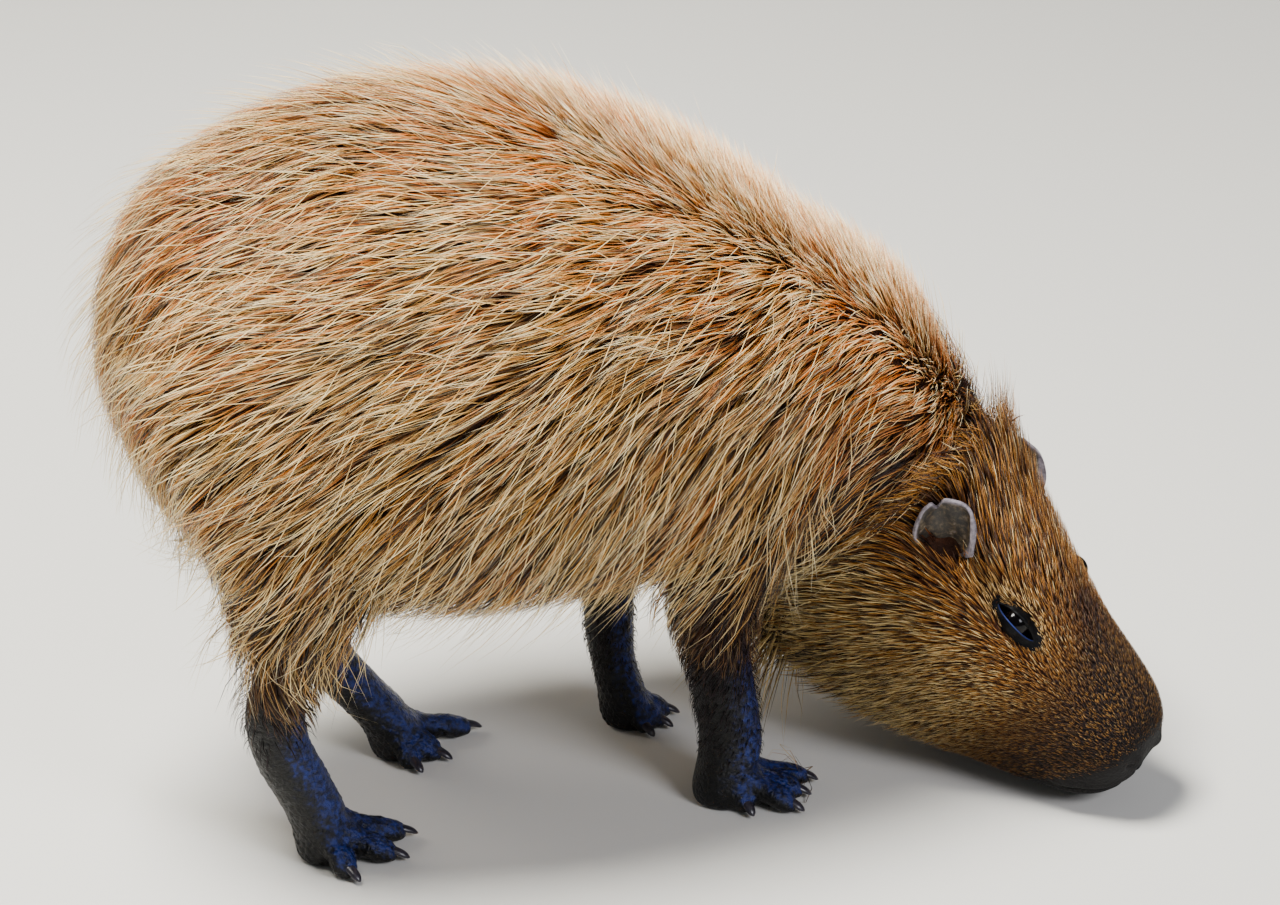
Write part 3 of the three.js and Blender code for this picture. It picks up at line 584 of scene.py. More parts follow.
cleft *= np.exp(-(((c - CLEFT["c"]) / CLEFT["half_high"]) ** 4))
out[:, 0] -= CLEFT["deep"] * cleft
for s in (-1, 1):
    on_nose = smooth_step(218, 236, a)
    across, upward = b - s * NOSTRIL["b"], c - NOSTRIL["c"]
    keep, slant = NOSTRIL["turn"]
    hole = np.exp(-(((across * keep + upward * slant * s) / NOSTRIL["half_long"]) ** 2)
                  - ((upward * keep - across * slant * s) / NOSTRIL["half_high"]) ** 2)
    out[:, 0] -= NOSTRIL["deep"] * hole * on_nose
    rim = np.exp(-(((b - s * NOSTRIL_RIM["b"]) / NOSTRIL_RIM["half_wide"]) ** 2)
                 - (((c - NOSTRIL_RIM["c"]) / NOSTRIL_RIM["half_high"]) ** 2))
    out[:, 0] += NOSTRIL_RIM["out"] * rim * on_nose
    x, y, z = at_eye(local, s)
    facing = eye_frame(s)[3]
    pit = np.exp(-(((x / SOCKET["half_long"]) ** 2 + (y / SOCKET["half_high"]) ** 2) ** 2))
    fold = -SOCKET["deep"] * pit
    for half_long, above, half_high, stands_out in (BROW, POUCH):
        fold += stands_out * np.exp(-((x / half_long) ** 2) - (((y - above) / half_high) ** 2))
    out += (fold * (z > -25))[:, None] * facing
    ear_hole = np.exp(-((a - EAR_HOLE["a"]) / EAR_HOLE["half_long"]) ** 2
                      - ((c - EAR_HOLE["c"]) / EAR_HOLE["half_high"]) ** 2) * (side == s)
    out[:, 1] -= s * EAR_HOLE["deep"] * ear_hole
out[~near] = 0
points = in_head(to_head(points) + out)
scaly = (points[:, 2] > 3) & (points[:, 2] < 150) & (points[:, 0] < 222) & (to_head(points)[:, 0] < -30)
for size, high in ((11, 0.7), (6, 0.45)):
    k = 2 * np.pi / size
    x, y, z = points.T
    bump = np.sin(k * (x + 0.4 * z)) * np.sin(k * (y - 0.3 * x) + 1.1) * np.sin(k * (0.8 * z + 0.3 * y) + 2.3)
    points[:, :2] += (high * bump * scaly)[:, None]
set_vertices(skin, points)
shaded_smooth(skin)


def hexed(text):
    """A colour from its usual six digits, in linear light."""
    value = [int(text[i : i + 2], 16) / 255 for i in (1, 3, 5)]
    linear = [v / 12.92 if v <= 0.04045 else ((v + 0.055) / 1.055) ** 2.4 for v in value]
    return (*linear, 1.0)


def node(tree, kind, values=None, **links):
    """A shader node with plain settings, socket values and links."""
    made = tree.nodes.new(kind)
    for key, value in (values or {}).items():
        if key in made.inputs:
            made.inputs[key].default_value = value
        else:
            setattr(made, key, value)
    for key, source in links.items():
        tree.links.new(source, made.inputs[key.replace("_", " ")])
    return made


def ramp(tree, factor, stops):
    """Colours along a factor from 0 to 1."""
    made = tree.nodes.new("ShaderNodeValToRGB")
    made.color_ramp.elements.remove(made.color_ramp.elements[1])
    made.color_ramp.elements[0].position = stops[0][0]
    made.color_ramp.elements[0].color = hexed(stops[0][1])
    for place, colour in stops[1:]:
        made.color_ramp.elements.new(place).color = hexed(colour)
    tree.links.new(factor, made.inputs[0])
    return made.outputs[0]


def mixed(tree, factor, first, second):
    """A mix of two colours, each a socket or a plain colour."""
    made = node(tree, "ShaderNodeMix", {"data_type": "RGBA"})
    tree.links.new(factor, made.inputs[0])
    for socket, value in ((made.inputs[6], first), (made.inputs[7], second)):
        if isinstance(value, tuple):
            socket.default_value = value
        else:
            tree.links.new(value, socket)
    return made.outputs[2]


def material(name):
    """A new material with its node tree and shader."""
    made = bpy.data.materials.new(name)
    made.use_nodes = True
    tree = made.node_tree
    return made, tree, tree.nodes["Principled BSDF"]


def pattern(tree, size_mm, detail=3.0, stretch=(1, 1, 1)):
    """Noise on the object's own coordinates with features of this size."""
    where = node(tree, "ShaderNodeTexCoord")
    place = node(tree, "ShaderNodeMapping", {"Scale": stretch}, Vector=where.outputs["Object"])
    noise_node = node(
        tree, "ShaderNodeTexNoise",
        {"Scale": 1 / (size_mm * MM), "Detail": detail, "Roughness": 0.6},
        Vector=place.outputs[0],
    )
    return noise_node.outputs["Fac"]


def fur_material(name, roughness, mirror, straw, red, white):
    """Hair coloured along its length. Each hair carries how far along it is, whether it is a pale or a
    dark one, and how red its part of the coat is."""
    made, tree, shader = material(name)
    mark = node(tree, "ShaderNodeAttribute", {"attribute_name": "strand"})
    parts = node(tree, "ShaderNodeSeparateColor", Color=mark.outputs["Color"])
    length, pale, dark = parts.outputs
    places = (0.0, 0.3, 0.62, 1.0)
    straw, red, white = (ramp(tree, length, list(zip(places, tones))) for tones in (straw, red, white))
    black = ramp(tree, length, [(0.0, "#040202"), (0.6, "#140D0E"), (1.0, "#3A2C32")])
    colour = mixed(tree, mark.outputs["Alpha"], straw, red)
    colour = mixed(tree, pale, colour, white)
    colour = mixed(tree, dark, colour, black)
    tree.links.new(colour, shader.inputs["Base Color"])
    shader.inputs["Roughness"].default_value = roughness
    shader.inputs["Specular IOR Level"].default_value = mirror
    return made


# Coarse coat of the body: dark root, orange-brown or straw middle, pale tip.
coat_material = fur_material(
    "coarse_coat", 0.45, 0.4,
    ("#140A04", "#744610", "#CE8C2C", "#F8CE74"),
    ("#120602", "#8A3A06", "#D06A0A", "#F09E34"),
    ("#2A1808", "#C8984C", "#FFE6A4", "#FFFAE0"),
)
# Short fur of the head, darker at its roots.
head_material = fur_material(
    "head_fur", 0.5, 0.15,
    ("#070401", "#44260A", "#9A6620", "#DCA850"),
    ("#060201", "#4C1E04", "#90520A", "#BE8224"),
    ("#140A04", "#7C5A2C", "#EACC88", "#FFF2CC"),
)
# Purple-brown fur of the legs.
leg_material = fur_material(
    "leg_fur", 0.5, 0.15,
    ("#080405", "#3A2418", "#8A6438", "#D0A868"),
    ("#080304", "#3C1C10", "#7C4220", "#B88048"),
    ("#140A04", "#7C5A2C", "#EACC88", "#FFF2CC"),
)

# Skin: dark brown under the coat, black on the muzzle, black, wet and wrinkled on the feet, with a blue sheen
# of reflected light painted into the feet's colour.
skin_material, tree, shader = material("hide")
mark = node(tree, "ShaderNodeAttribute", {"attribute_name": "zone"})
zones = node(tree, "ShaderNodeSeparateColor", Color=mark.outputs["Color"])
foot, muzzle, face = zones.outputs
grain = pattern(tree, 2.5, 4.0)
blotch = pattern(tree, 18, 3.0)
under = ramp(tree, blotch, [(0.3, "#1C0F08"), (0.7, "#452610")])
red = ramp(tree, blotch, [(0.3, "#1E0D06"), (0.7, "#42200C")])
black = ramp(tree, grain, [(0.3, "#020202"), (0.7, "#0E0B0D")])
# Painted reflection: the feet's blue is noise plus the sheen mark, ramped from black to blue; the skin itself
# is black.
painted_sheen = node(tree, "ShaderNodeAttribute", {"attribute_name": "painted_sheen"})
shine = node(tree, "ShaderNodeMath", {"operation": "ADD"})
tree.links.new(pattern(tree, 5, 8.0), shine.inputs[0])
tree.links.new(painted_sheen.outputs["Fac"], shine.inputs[1])
foot_tone_painted_sheen = ramp(
    tree, shine.outputs[0], [(0.52, "#010101"), (0.66, "#04050A"), (0.80, "#0A1028"), (0.98, "#1C2B66")]
)
shader.inputs["Specular IOR Level"].default_value = 0.28
colour = mixed(tree, face, under, red)
colour = mixed(tree, muzzle, colour, black)
colour = mixed(tree, foot, colour, foot_tone_painted_sheen)
tree.links.new(colour, shader.inputs["Base Color"])
gloss = node(tree, "ShaderNodeMapRange", {"To Min": 0.75, "To Max": 0.22}, Value=foot)
rougher = node(tree, "ShaderNodeMath", {"operation": "MULTIPLY_ADD"})
tree.links.new(grain, rougher.inputs[0])
rougher.inputs[1].default_value = 0.25
tree.links.new(gloss.outputs[0], rougher.inputs[2])
tree.links.new(rougher.outputs[0], shader.inputs["Roughness"])
creases = node(tree, "ShaderNodeTexVoronoi", {"Scale": 1 / (5 * MM), "feature": "DISTANCE_TO_EDGE"},
               Vector=node(tree, "ShaderNodeTexCoord").outputs["Object"])
relief = node(tree, "ShaderNodeMath", {"operation": "ADD"})
tree.links.new(creases.outputs["Distance"], relief.inputs[0])
tree.links.new(grain, relief.inputs[1])
bump = node(tree, "ShaderNodeBump", {"Strength": 0.8, "Distance": 2.0 * MM}, Height=relief.outputs[0])
tree.links.new(bump.outputs[0], shader.inputs["Normal"])

# Eyes: wet and nearly black. Lids: bare blue-black skin, with a pale blue highlight painted along the wet rim
# of the lower lid. Claws: dull dark horn.
eye_material, tree, shader = material("wet_eye")
shader.inputs["Base Color"].default_value = hexed("#030203")
shader.inputs["Roughness"].default_value = 0.12
shader.inputs["Specular IOR Level"].default_value = 0.16
lid_material, tree, shader = material("bare_lid")
# Painted highlight: a pale blue line along the wet rim of the lower lid.
rim_highlight_mark = node(tree, "ShaderNodeAttribute", {"attribute_name": "lid_rim_painted_highlight"})
lid_tone = ramp(tree, pattern(tree, 3, 3), [(0.3, "#010101"), (0.7, "#06070B")])
lid_tone = mixed(tree, rim_highlight_mark.outputs["Fac"], lid_tone, hexed("#2C3A78"))
tree.links.new(lid_tone, shader.inputs["Base Color"])
shader.inputs["Roughness"].default_value = 0.5
shader.inputs["Specular IOR Level"].default_value = 0.1
bump = node(tree, "ShaderNodeBump", {"Strength": 0.4, "Distance": 0.4 * MM}, Height=pattern(tree, 1.6, 3))
tree.links.new(bump.outputs[0], shader.inputs["Normal"])
claw_material, tree, shader = material("dark_horn")
tree.links.new(
    ramp(tree, pattern(tree, 3, 3, (0.4, 1, 1)), [(0.3, "#15131A"), (0.7, "#34303A")]),
    shader.inputs["Base Color"],
)
shader.inputs["Roughness"].default_value = 0.3
# Ears: thin grey-brown skin, paler along the rim.
ear_material, tree, shader = material("ear_skin")
edge = node(tree, "ShaderNodeAttribute", {"attribute_name": "rim"})
tone = ramp(
    tree, pattern(tree, 5, 6), [(0.35, "#080606"), (0.5, "#261E16"), (0.62, "#4C402C"), (0.75, "#6E6268")]
)
edge_tone = ramp(tree, pattern(tree, 4, 4), [(0.3, "#4C464E"), (0.7, "#8C848C")])
colour = mixed(tree, edge.outputs["Fac"], tone, edge_tone)
tree.links.new(colour, shader.inputs["Base Color"])
shader.inputs["Roughness"].default_value = 0.6
bump = node(tree, "ShaderNodeBump", {"Strength": 0.5, "Distance": 0.5 * MM}, Height=pattern(tree, 1.2, 4))
tree.links.new(bump.outputs[0], shader.inputs["Normal"])


def done(obj, stuff, slot, *nodes):
    """Gives a piece its material and body and hides the solids it stands for. Its slot is not used."""
    obj.data.materials.clear()
    obj.data.materials.append(stuff)
    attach(obj, "root")
    if nodes:
        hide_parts(*nodes)
    return obj


def colour_attribute(obj, name, values):
    """Writes three numbers for each vertex, for a material to read."""
    values = np.concatenate([values, np.ones((len(values), 1))], 1).astype(np.float32)
    made = obj.data.attributes.new(name, "FLOAT_COLOR", "POINT")
    made.data.foreach_set("color", values.ravel())


# Which part of the hide a vertex belongs to: foot, muzzle, face.
points = vertices_of(skin)
local = to_head(points)
fore = points[:, 0] > 30
on_leg = (points[:, 2] < 200) & (points[:, 0] < 188) | (points[:, 2] < 50) & (points[:, 0] < 222)
edge_high = np.where(fore, 150, 170)
foot = (1 - smooth_step(edge_high - 30, edge_high + 10, points[:, 2])) * on_leg
ahead = smooth_step(95, 190, local[:, 0] - 0.25 * np.abs(local[:, 1])) * (np.abs(local[:, 1]) < 90)
snout = np.exp(-((local[:, 1] / 26) ** 2)) * smooth_step(105, 165, local[:, 0])
snout *= smooth_step(-30, 0, local[:, 2])
muzzle = np.clip(ahead + 0.8 * snout, 0, 1) * (1 - on_leg)
face = smooth_step(-40, 20, local[:, 0]) * (np.abs(local[:, 1]) < 120) * (local[:, 2] > -210) * (1 - on_leg)
colour_attribute(skin, "zone", np.stack([foot, muzzle, face], -1))
# Painted sheen: a blue reflection painted into the feet's colour where the skin faces up, forwards or
# outwards.
normals = np.empty(len(skin.data.vertices) * 3, np.float32)
skin.data.vertices.foreach_get("normal", normals)
normals = normals.reshape(-1, 3).astype(float)
facing_light = smooth_step(0.1, 0.85, normals @ unit(np.array([0.5, -0.5, 0.7])))
mark_vertices(skin, "painted_sheen", 0.38 * facing_light)

# An unwrap of the skin's own shape.
bpy.ops.object.select_all(action="DESELECT")
skin.select_set(True)
bpy.context.view_layer.objects.active = skin
bpy.ops.object.mode_set(mode="EDIT")
bpy.ops.mesh.select_all(action="SELECT")
bpy.ops.uv.smart_project(angle_limit=math.radians(66), island_margin=0.001)
bpy.ops.object.mode_set(mode="OBJECT")
skin.data.uv_layers[0].name = "OFBake"
done(skin, skin_material, "coat", "torso", "neck", "head", *("leg_" + n for n in LEGS))

# The skin as triangles, for rooting hair.
skin.data.calc_loop_triangles()
count = len(skin.data.loop_triangles)
tri_verts = np.empty(count * 3, np.int32)
tri_loops = np.empty(count * 3, np.int32)
skin.data.loop_triangles.foreach_get("vertices", tri_verts)
skin.data.loop_triangles.foreach_get("loops", tri_loops)
tri_verts, tri_loops = tri_verts.reshape(-1, 3), tri_loops.reshape(-1, 3)
uv = np.empty(len(skin.data.loops) * 2, np.float32)
skin.data.uv_layers["OFBake"].data.foreach_get("uv", uv)
uv = uv.reshape(-1, 2)
corners = points[tri_verts]
areas = np.linalg.norm(np.cross(corners[:, 1] - corners[:, 0], corners[:, 2] - corners[:, 0]), axis=1) / 2
tri_middle = corners.mean(1)
tree_of_skin = bvhtree.BVHTree.FromPolygons(points.tolist(), tri_verts.tolist())


def scatter(density, total):
    """Random roots on the skin: place, normal and unwrap position, more where density is high."""
    weight = areas * density
    share = np.cumsum(weight) / weight.sum()
    index = np.searchsorted(share, (np.arange(total) + rng.random(total)) / total)
    index = np.minimum(index, len(areas) - 1)
    u, v = rng.random(total), rng.random(total)
    flip = u + v > 1
    u[flip], v[flip] = 1 - u[flip], 1 - v[flip]
    w = np.stack([1 - u - v, u, v], -1)[:, :, None]
    place = (points[tri_verts[index]] * w).sum(1)
    normal = unit((normals[tri_verts[index]] * w).sum(1))
    root_uv = (uv[tri_loops[index]] * w).sum(1)
    return place, normal, root_uv


def zones_at(p):
    """How much each point belongs to the head and the legs, and its place on the head."""
    local = to_head(p)
    on_head = smooth_step(-45, 5, local[:, 0]) * (np.abs(local[:, 1]) < 130) * (local[:, 2] > -222)
    leg = (1 - smooth_step(198, 262, p[:, 2])) * (1 - on_head) * (p[:, 0] < 190)
    belly = (np.abs(p[:, 1]) < 60) & (p[:, 0] > -230) & (p[:, 0] < 60) & (p[:, 2] > 150)
    return local, on_head, np.where(belly, 0, leg)


def wander(p, size, phase):
    """A gentle unevenness from -1 to 1 over the body, with features of about this size."""
    k = 2 * np.pi / size
    x, y, z = p.T
    return (
        np.sin(k * (x + 0.6 * z) + phase) * np.cos(k * (0.8 * z - 0.5 * y) + 2.1 * phase)
        + 0.6 * np.sin(k * 1.7 * (0.7 * x - z + 0.4 * y) + 3.3 * phase)
    ) / 1.6


def comb(p, n):
    """The direction in which the coat lies at each point, along the skin."""
    local, on_head, leg = zones_at(p)
    low_side = 1 - smooth_step(250, 480, p[:, 2])
    flow = np.zeros_like(p)
    flow[:, 0] = -1.0
    flow[:, 2] = -(0.16 + 0.95 * low_side)
    rump = 1 - smooth_step(-340, -240, p[:, 0])
    flow[:, 2] -= 0.9 * rump
    neck = smooth_step(150, 290, p[:, 0])
    behind = np.array([-0.95, 0.25, 0.0]) + np.outer(low_side, [0.0, 0.0, -0.38])
    flow = flow * (1 - neck[:, None]) + neck[:, None] * behind
    a, b, c = local.T
    face = np.zeros_like(p)
    face[:, 0] = -1.0
    face[:, 1] = 0.25 * np.sign(b) * smooth_step(100, 240, a)
    face[:, 2] = np.interp(c, *HEAD_FUR_FALL)
    face[:, 2] *= 1 - 0.6 * smooth_step(110, 200, a)
    flow = flow * (1 - on_head[:, None]) + (face @ HEAD_AXES) * on_head[:, None]
    down = np.zeros_like(p)
    down[:, 2] = -1.0
    down[:, 0] = np.where(p[:, 0] > 30, -0.45, 0.15)
    flow = flow * (1 - leg[:, None]) + down * leg[:, None]
    flow -= (flow * n).sum(1, keepdims=True) * n
    flow = unit(flow)
    turn = 0.20 * wander(p, 210, 0.4) + 0.18 * wander(p, 74, 1.9) + 0.12 * wander(p, 31, 5.2)
    turn = turn * (1 - 0.45 * on_head)
    turn = turn[:, None]
    return unit(flow * np.cos(turn) + np.cross(n, flow) * np.sin(turn))


def nearest(p):
    """The closest points of the skin and its normals there."""
    spots, facing = np.empty_like(p), np.empty_like(p)
    for i, q in enumerate(p):
        spot, normal, _, _ = tree_of_skin.find_nearest(q)
        spots[i], facing[i] = spot, normal
    return spots, facing


def grow(place, normal, length, rise, stand, stray, clump):
    """Strands that follow the skin at a height that rises along them, drawn together in clumps."""
    steps = len(rise) - 1
    heads = rng.choice(len(place), max(1, len(place) // 6), replace=False)
    tree = kdtree.KDTree(len(heads))
    for i, h in enumerate(heads):
        tree.insert(place[h], i)
    tree.balance()
    mine = np.array([heads[tree.find(q)[1]] for q in place])
    jitter = unit(rng.normal(size=place.shape))
    jitter = unit(jitter * (1 - clump) + jitter[mine] * clump)
    spine = [place - normal * 1.5]
    here, facing = place.copy(), normal.copy()
    direction = unit(comb(place, normal) + jitter * stray[:, None])
    straight = unit(comb(place, normal) * 0.55 + normal * 1.0 + jitter * stray[:, None])
    for k in range(1, steps + 1):
        step = length / steps
        ahead = here + direction * step[:, None]
        here, facing = nearest(ahead)
        flow = comb(here, facing)
        direction = unit(0.55 * direction + 0.45 * flow + jitter * (0.35 * stray)[:, None])
        direction -= (direction * facing).sum(1, keepdims=True) * facing
        direction = unit(direction)
        lying = here + facing * (rise[k] * length)[:, None]
        s = k / steps
        curve = comb(place, normal) * (0.45 * s * s * length)[:, None]
        standing = place + straight * (length * s)[:, None] + curve
        spine.append(lying * (1 - stand[:, None]) + standing * stand[:, None])
    spine = np.stack(spine, 1)
    if clump > 0:
        share = np.linspace(0, 1, steps + 1)[None, :, None] ** 1.4
        pull = share * (clump * rng.uniform(0.3, 1.0, len(place)))[:, None, None]
        parallel = place[:, None, :] + (spine[mine] - place[mine][:, None, :])
        spine = spine * (1 - pull) + (0.3 * parallel + 0.7 * spine[mine]) * pull
    return spine


def kept_in(spine):
    """Hair tips bent back where they would leave the space round the animal or reach the floor."""
    def excess(reach, limit):
        begin, room = TIP_LIMITS[limit]
        past = reach - begin
        return np.where(past > 0, past - room * (1 - np.exp(-past / room)), 0)

    points = spine + SHIFT
    points[..., 1] -= np.sign(points[..., 1]) * excess(np.abs(points[..., 1]), "side")
    points[..., 2] -= excess(points[..., 2], "top")
    points[..., 0] += excess(-points[..., 0], "rear")
    points[..., 2] = np.maximum(points[..., 2], TIP_LIMITS["floor"])
    return points - SHIFT


def strand_mesh(name, spine, normal, width, flat, root_uv, marks_of):
    """Tapered three-sided strands as one mesh, with their marks and their patch on the unwrap."""
    n, rings = spine.shape[:2]
    lie = unit(spine[:, 1] - spine[:, 0])
    across = unit(np.cross(lie, normal))
    upward = unit(np.cross(across, lie))
    s = np.linspace(0, 1, rings)
    taper = (1 - s**2.4) * 0.8 + 0.2
    verts = np.empty((n, (rings - 1) * 3 + 1, 3))
    for k in range(rings - 1):
        w = (width * taper[k] / 2)[:, None]
        base = spine[:, k]
        verts[:, k * 3] = base - across * w
        verts[:, k * 3 + 1] = base + across * w
        verts[:, k * 3 + 2] = base + upward * w * flat
    verts[:, -1] = spine[:, -1]
    faces = [(2, 1, 0)]
    for k in range(rings - 2):
        for j in range(3):
            p, q = k * 3 + j, k * 3 + (j + 1) % 3
            faces += [(p, q, q + 3), (p, q + 3, p + 3)]
    top = (rings - 2) * 3
    tip = (rings - 1) * 3
    faces += [(top + j, top + (j + 1) % 3, tip) for j in range(3)]
    faces = np.array(faces, np.int32)
    per = verts.shape[1]
    index = (faces[None] + (np.arange(n) * per)[:, None, None]).reshape(-1, 3)
    mesh = bpy.data.meshes.new(name)
    mesh.vertices.add(n * per)
    mesh.vertices.foreach_set("co", ((verts.reshape(-1, 3) + SHIFT) * MM).astype(np.float32).ravel())
    mesh.loops.add(len(index) * 3)
    mesh.loops.foreach_set("vertex_index", index.ravel().astype(np.int32))
    mesh.polygons.add(len(index))
    mesh.polygons.foreach_set("loop_start", np.arange(0, len(index) * 3, 3, dtype=np.int32))
    mesh.update(calc_edges=True)
    place = np.append(np.repeat(s[:-1], 3), 1.0)
    around = np.append(np.tile([0.0, 1.0, 0.5], rings - 1), 0.5)
    pale, dark, red = (np.repeat(np.clip(v, 0, 1), per) for v in marks_of)
    marks = np.stack([np.tile(place, n), pale, dark, red], -1)
    mesh.attributes.new("strand", "FLOAT_COLOR", "POINT").data.foreach_set(
        "color", marks.astype(np.float32).ravel())
    spread = np.stack([around - 0.5, place - 0.5], -1) * PATCH
    vertex_uv = np.clip((root_uv[:, None, :] + spread[None]).reshape(-1, 2), 0, 1)
    layer = mesh.uv_layers.new(name="OFBake")
    layer.data.foreach_set("uv", vertex_uv[index.ravel()].astype(np.float32).ravel())
    obj = bpy.data.objects.new(name, mesh)
    bpy.context.scene.collection.objects.link(obj)
    shaded_smooth(obj)
    return obj


def plant(name, stuff, slot, density, total, shape, per_piece):
    """Grows one layer of the coat and cuts it into pieces of a limited size."""
    place, normal, root_uv = scatter(density(tri_middle), total)
    f = shape(place)
    spine = grow(place, normal, f["length"], f["rise"], f["stand"], f["stray"], f["clump"])
    spine = kept_in(spine)
    order = np.argsort(place[:, 0] + 0.3 * place[:, 1])
    pieces = max(1, math.ceil(total / per_piece))
    for i, part in enumerate(np.array_split(order, pieces)):
        obj = strand_mesh(
            f"{name}_{i + 1}", spine[part], normal[part], f["width"][part], f["flat"],
            root_uv[part], [f[k][part] for k in ("pale", "dark", "red")],
        )
        done(obj, stuff, slot)


def redness(p):
    """How orange-brown the coat is: along the back and shoulder and over the forehead."""
    local, on_head, _ = zones_at(p)
    a, _, c = local.T
    back = np.interp(p[:, 0], TRUNK[:, 0], TRUNK[:, 1])
    high = smooth_step(-190, -30, p[:, 2] - back)
    body = 0.28 + 0.6 * high + 0.5 * wander(p, 160, 2.7)
    body += 0.45 * smooth_step(150, 260, p[:, 0]) - 0.3 * (1 - smooth_step(220, 330, p[:, 2]))
    head = 0.6 + 0.6 * smooth_step(-70, 0, c) * (1 - smooth_step(110, 170, a))
    return np.clip(body * (1 - on_head) + head * on_head, 0, 1)


def crest_amount(p):
    """How much the coat stands up: along the withers and the nape."""
    along_back = smooth_step(-120, 110, p[:, 0]) * (1 - smooth_step(300, 345, p[:, 0]))
    middle = -0.22 * np.clip(p[:, 0] - 225, 0, 200)
    top = np.interp(p[:, 0], *CREST_LINE)
    near_top = smooth_step(top - 66, top - 14, p[:, 2])
    return along_back * near_top * np.exp(-(((p[:, 1] - middle) / 72) ** 2))


def coat_density(p):
    """Where the body's coat grows: not on the legs, the head or round the ears."""
    local, on_head, leg = zones_at(p)
    jaw = 1 - smooth_step(-45, 25, local[:, 0])
    ear = np.hypot(local[:, 0] - 8, local[:, 2] + 2) / 30
    inside = np.where(on_head > 0, jaw * smooth_step(0.8, 1.3, ear), 1) * (1 - leg)
    under = 1 - 0.6 * ((p[:, 2] < 225) & (np.abs(p[:, 1]) < 70))
    return np.clip(inside, 0, 1) * under * (1 + 0.4 * crest_amount(p))


def coat_shape(layer):
    """Lengths, widths and colours of one layer: the under coat, the coarse hair or the stray hair."""
    def shape(place):
        n = len(place)
        local = to_head(place)
        crest = crest_amount(place)
        low_side = 1 - smooth_step(220, 400, place[:, 2])
        length = (62 + 14 * low_side - 12 * crest) * rng.uniform(0.7, 1.2, n)
        length *= 1 - 0.25 * smooth_step(190, 320, place[:, 0])
        by_head = smooth_step(-150, -20, local[:, 0]) * (place[:, 0] > 150)
        length *= 1 - 0.35 * by_head
        red = redness(place) - 0.15 * by_head + rng.normal(0, 0.16, n)
        # Painted shade: low on the body, towards the belly, the coat gets fewer pale hairs and more dark
        # ones.
        lower = 1 - smooth_step(220, 420, place[:, 2])
        parting = np.exp(-(((crest - 0.30) / 0.16) ** 2))
        if layer == "under":
            length *= 0.68
            width, flat, rise = rng.uniform(2.6, 4.2, n), 0.3, RISE["under"]
            pale, dark = rng.uniform(0, 0.2, n), rng.uniform(0.3, 0.85, n)
            stray, clump = rng.uniform(0.05, 0.15, n), 0.2
        elif layer == "coarse":
            width, flat, rise = rng.uniform(0.65, 1.25, n), 0.6, RISE["coarse"]
            share = 0.42 + 0.08 * crest - 0.28 * by_head - 0.16 * lower
            pale = np.where(rng.random(n) < share, rng.uniform(0.6, 1.1, n), rng.uniform(0, 0.2, n))
            pale += 0.18 * wander(place, 130, 0.9) + 0.08 * crest
            dark_share = 0.28 + 0.28 * by_head + 0.24 * lower
            dark = np.where(rng.random(n) < dark_share, 0.85, 0.0)
            dark = dark * (1 - 0.6 * crest) * (1 - 0.8 * parting)
            stray, clump = rng.uniform(0.10, 0.36, n), 0.6
        else:
            length *= rng.uniform(0.8, 1.15, n)
            width, flat, rise = rng.uniform(0.65, 1.0, n), 0.8, RISE["stray"]
            pale, dark = rng.uniform(0.6, 1, n), np.zeros(n)
            stray, clump = rng.uniform(0.3, 0.75, n), 0.0
        rump = 1 - smooth_step(-345, -250, place[:, 0])
        # The lower term paints shade: hairs low on the body are darker.
        dark = dark + (0.3 * rump + 0.38 * lower + 0.16 * by_head) * rng.random(n)
        stand = np.clip(crest * 0.8 + (0.06 if layer != "under" else 0), 0, 0.95)
        return {
            "length": length, "rise": rise, "stand": stand, "stray": stray, "clump": clump,
            "width": width, "flat": flat, "pale": pale, "dark": dark, "red": red,
        }
    return shape


def on_face(p):
    """Where the fur is short enough for hairs of fewer rings."""
    a, _, c = to_head(p).T
    return smooth_step(15, 60, a) * smooth_step(-150, -100, c)


def head_density(p):
    """Where the head's fur grows: not on the lids, the nose or in the ears."""
    local, on_head, _ = zones_at(p)
    off_legs = (p[:, 2] > 110) | (p[:, 0] > 235)
    on_head = smooth_step(-62, -12, local[:, 0]) * (on_head > 0) * off_legs
    a, _, c = local.T
    clear = np.ones(len(p))
    for s in (-1, 1):
        x, y, z = at_eye(local, s)
        clear *= np.where(z > -20, smooth_step(0.85, 1.12, np.hypot(x / 25, y / 9.5)), 1)
    nose = 1 - smooth_step(226, 238, a - 0.4 * np.clip(c + 30, -99, 0))
    ear = np.hypot((a - EAR["a"] - 6) / 19, (c - EAR["c"] - 3) / 15)
    return on_head * clear * nose * smooth_step(0.75, 1.25, ear) * (1 + 0.9 * smooth_step(60, 180, a))


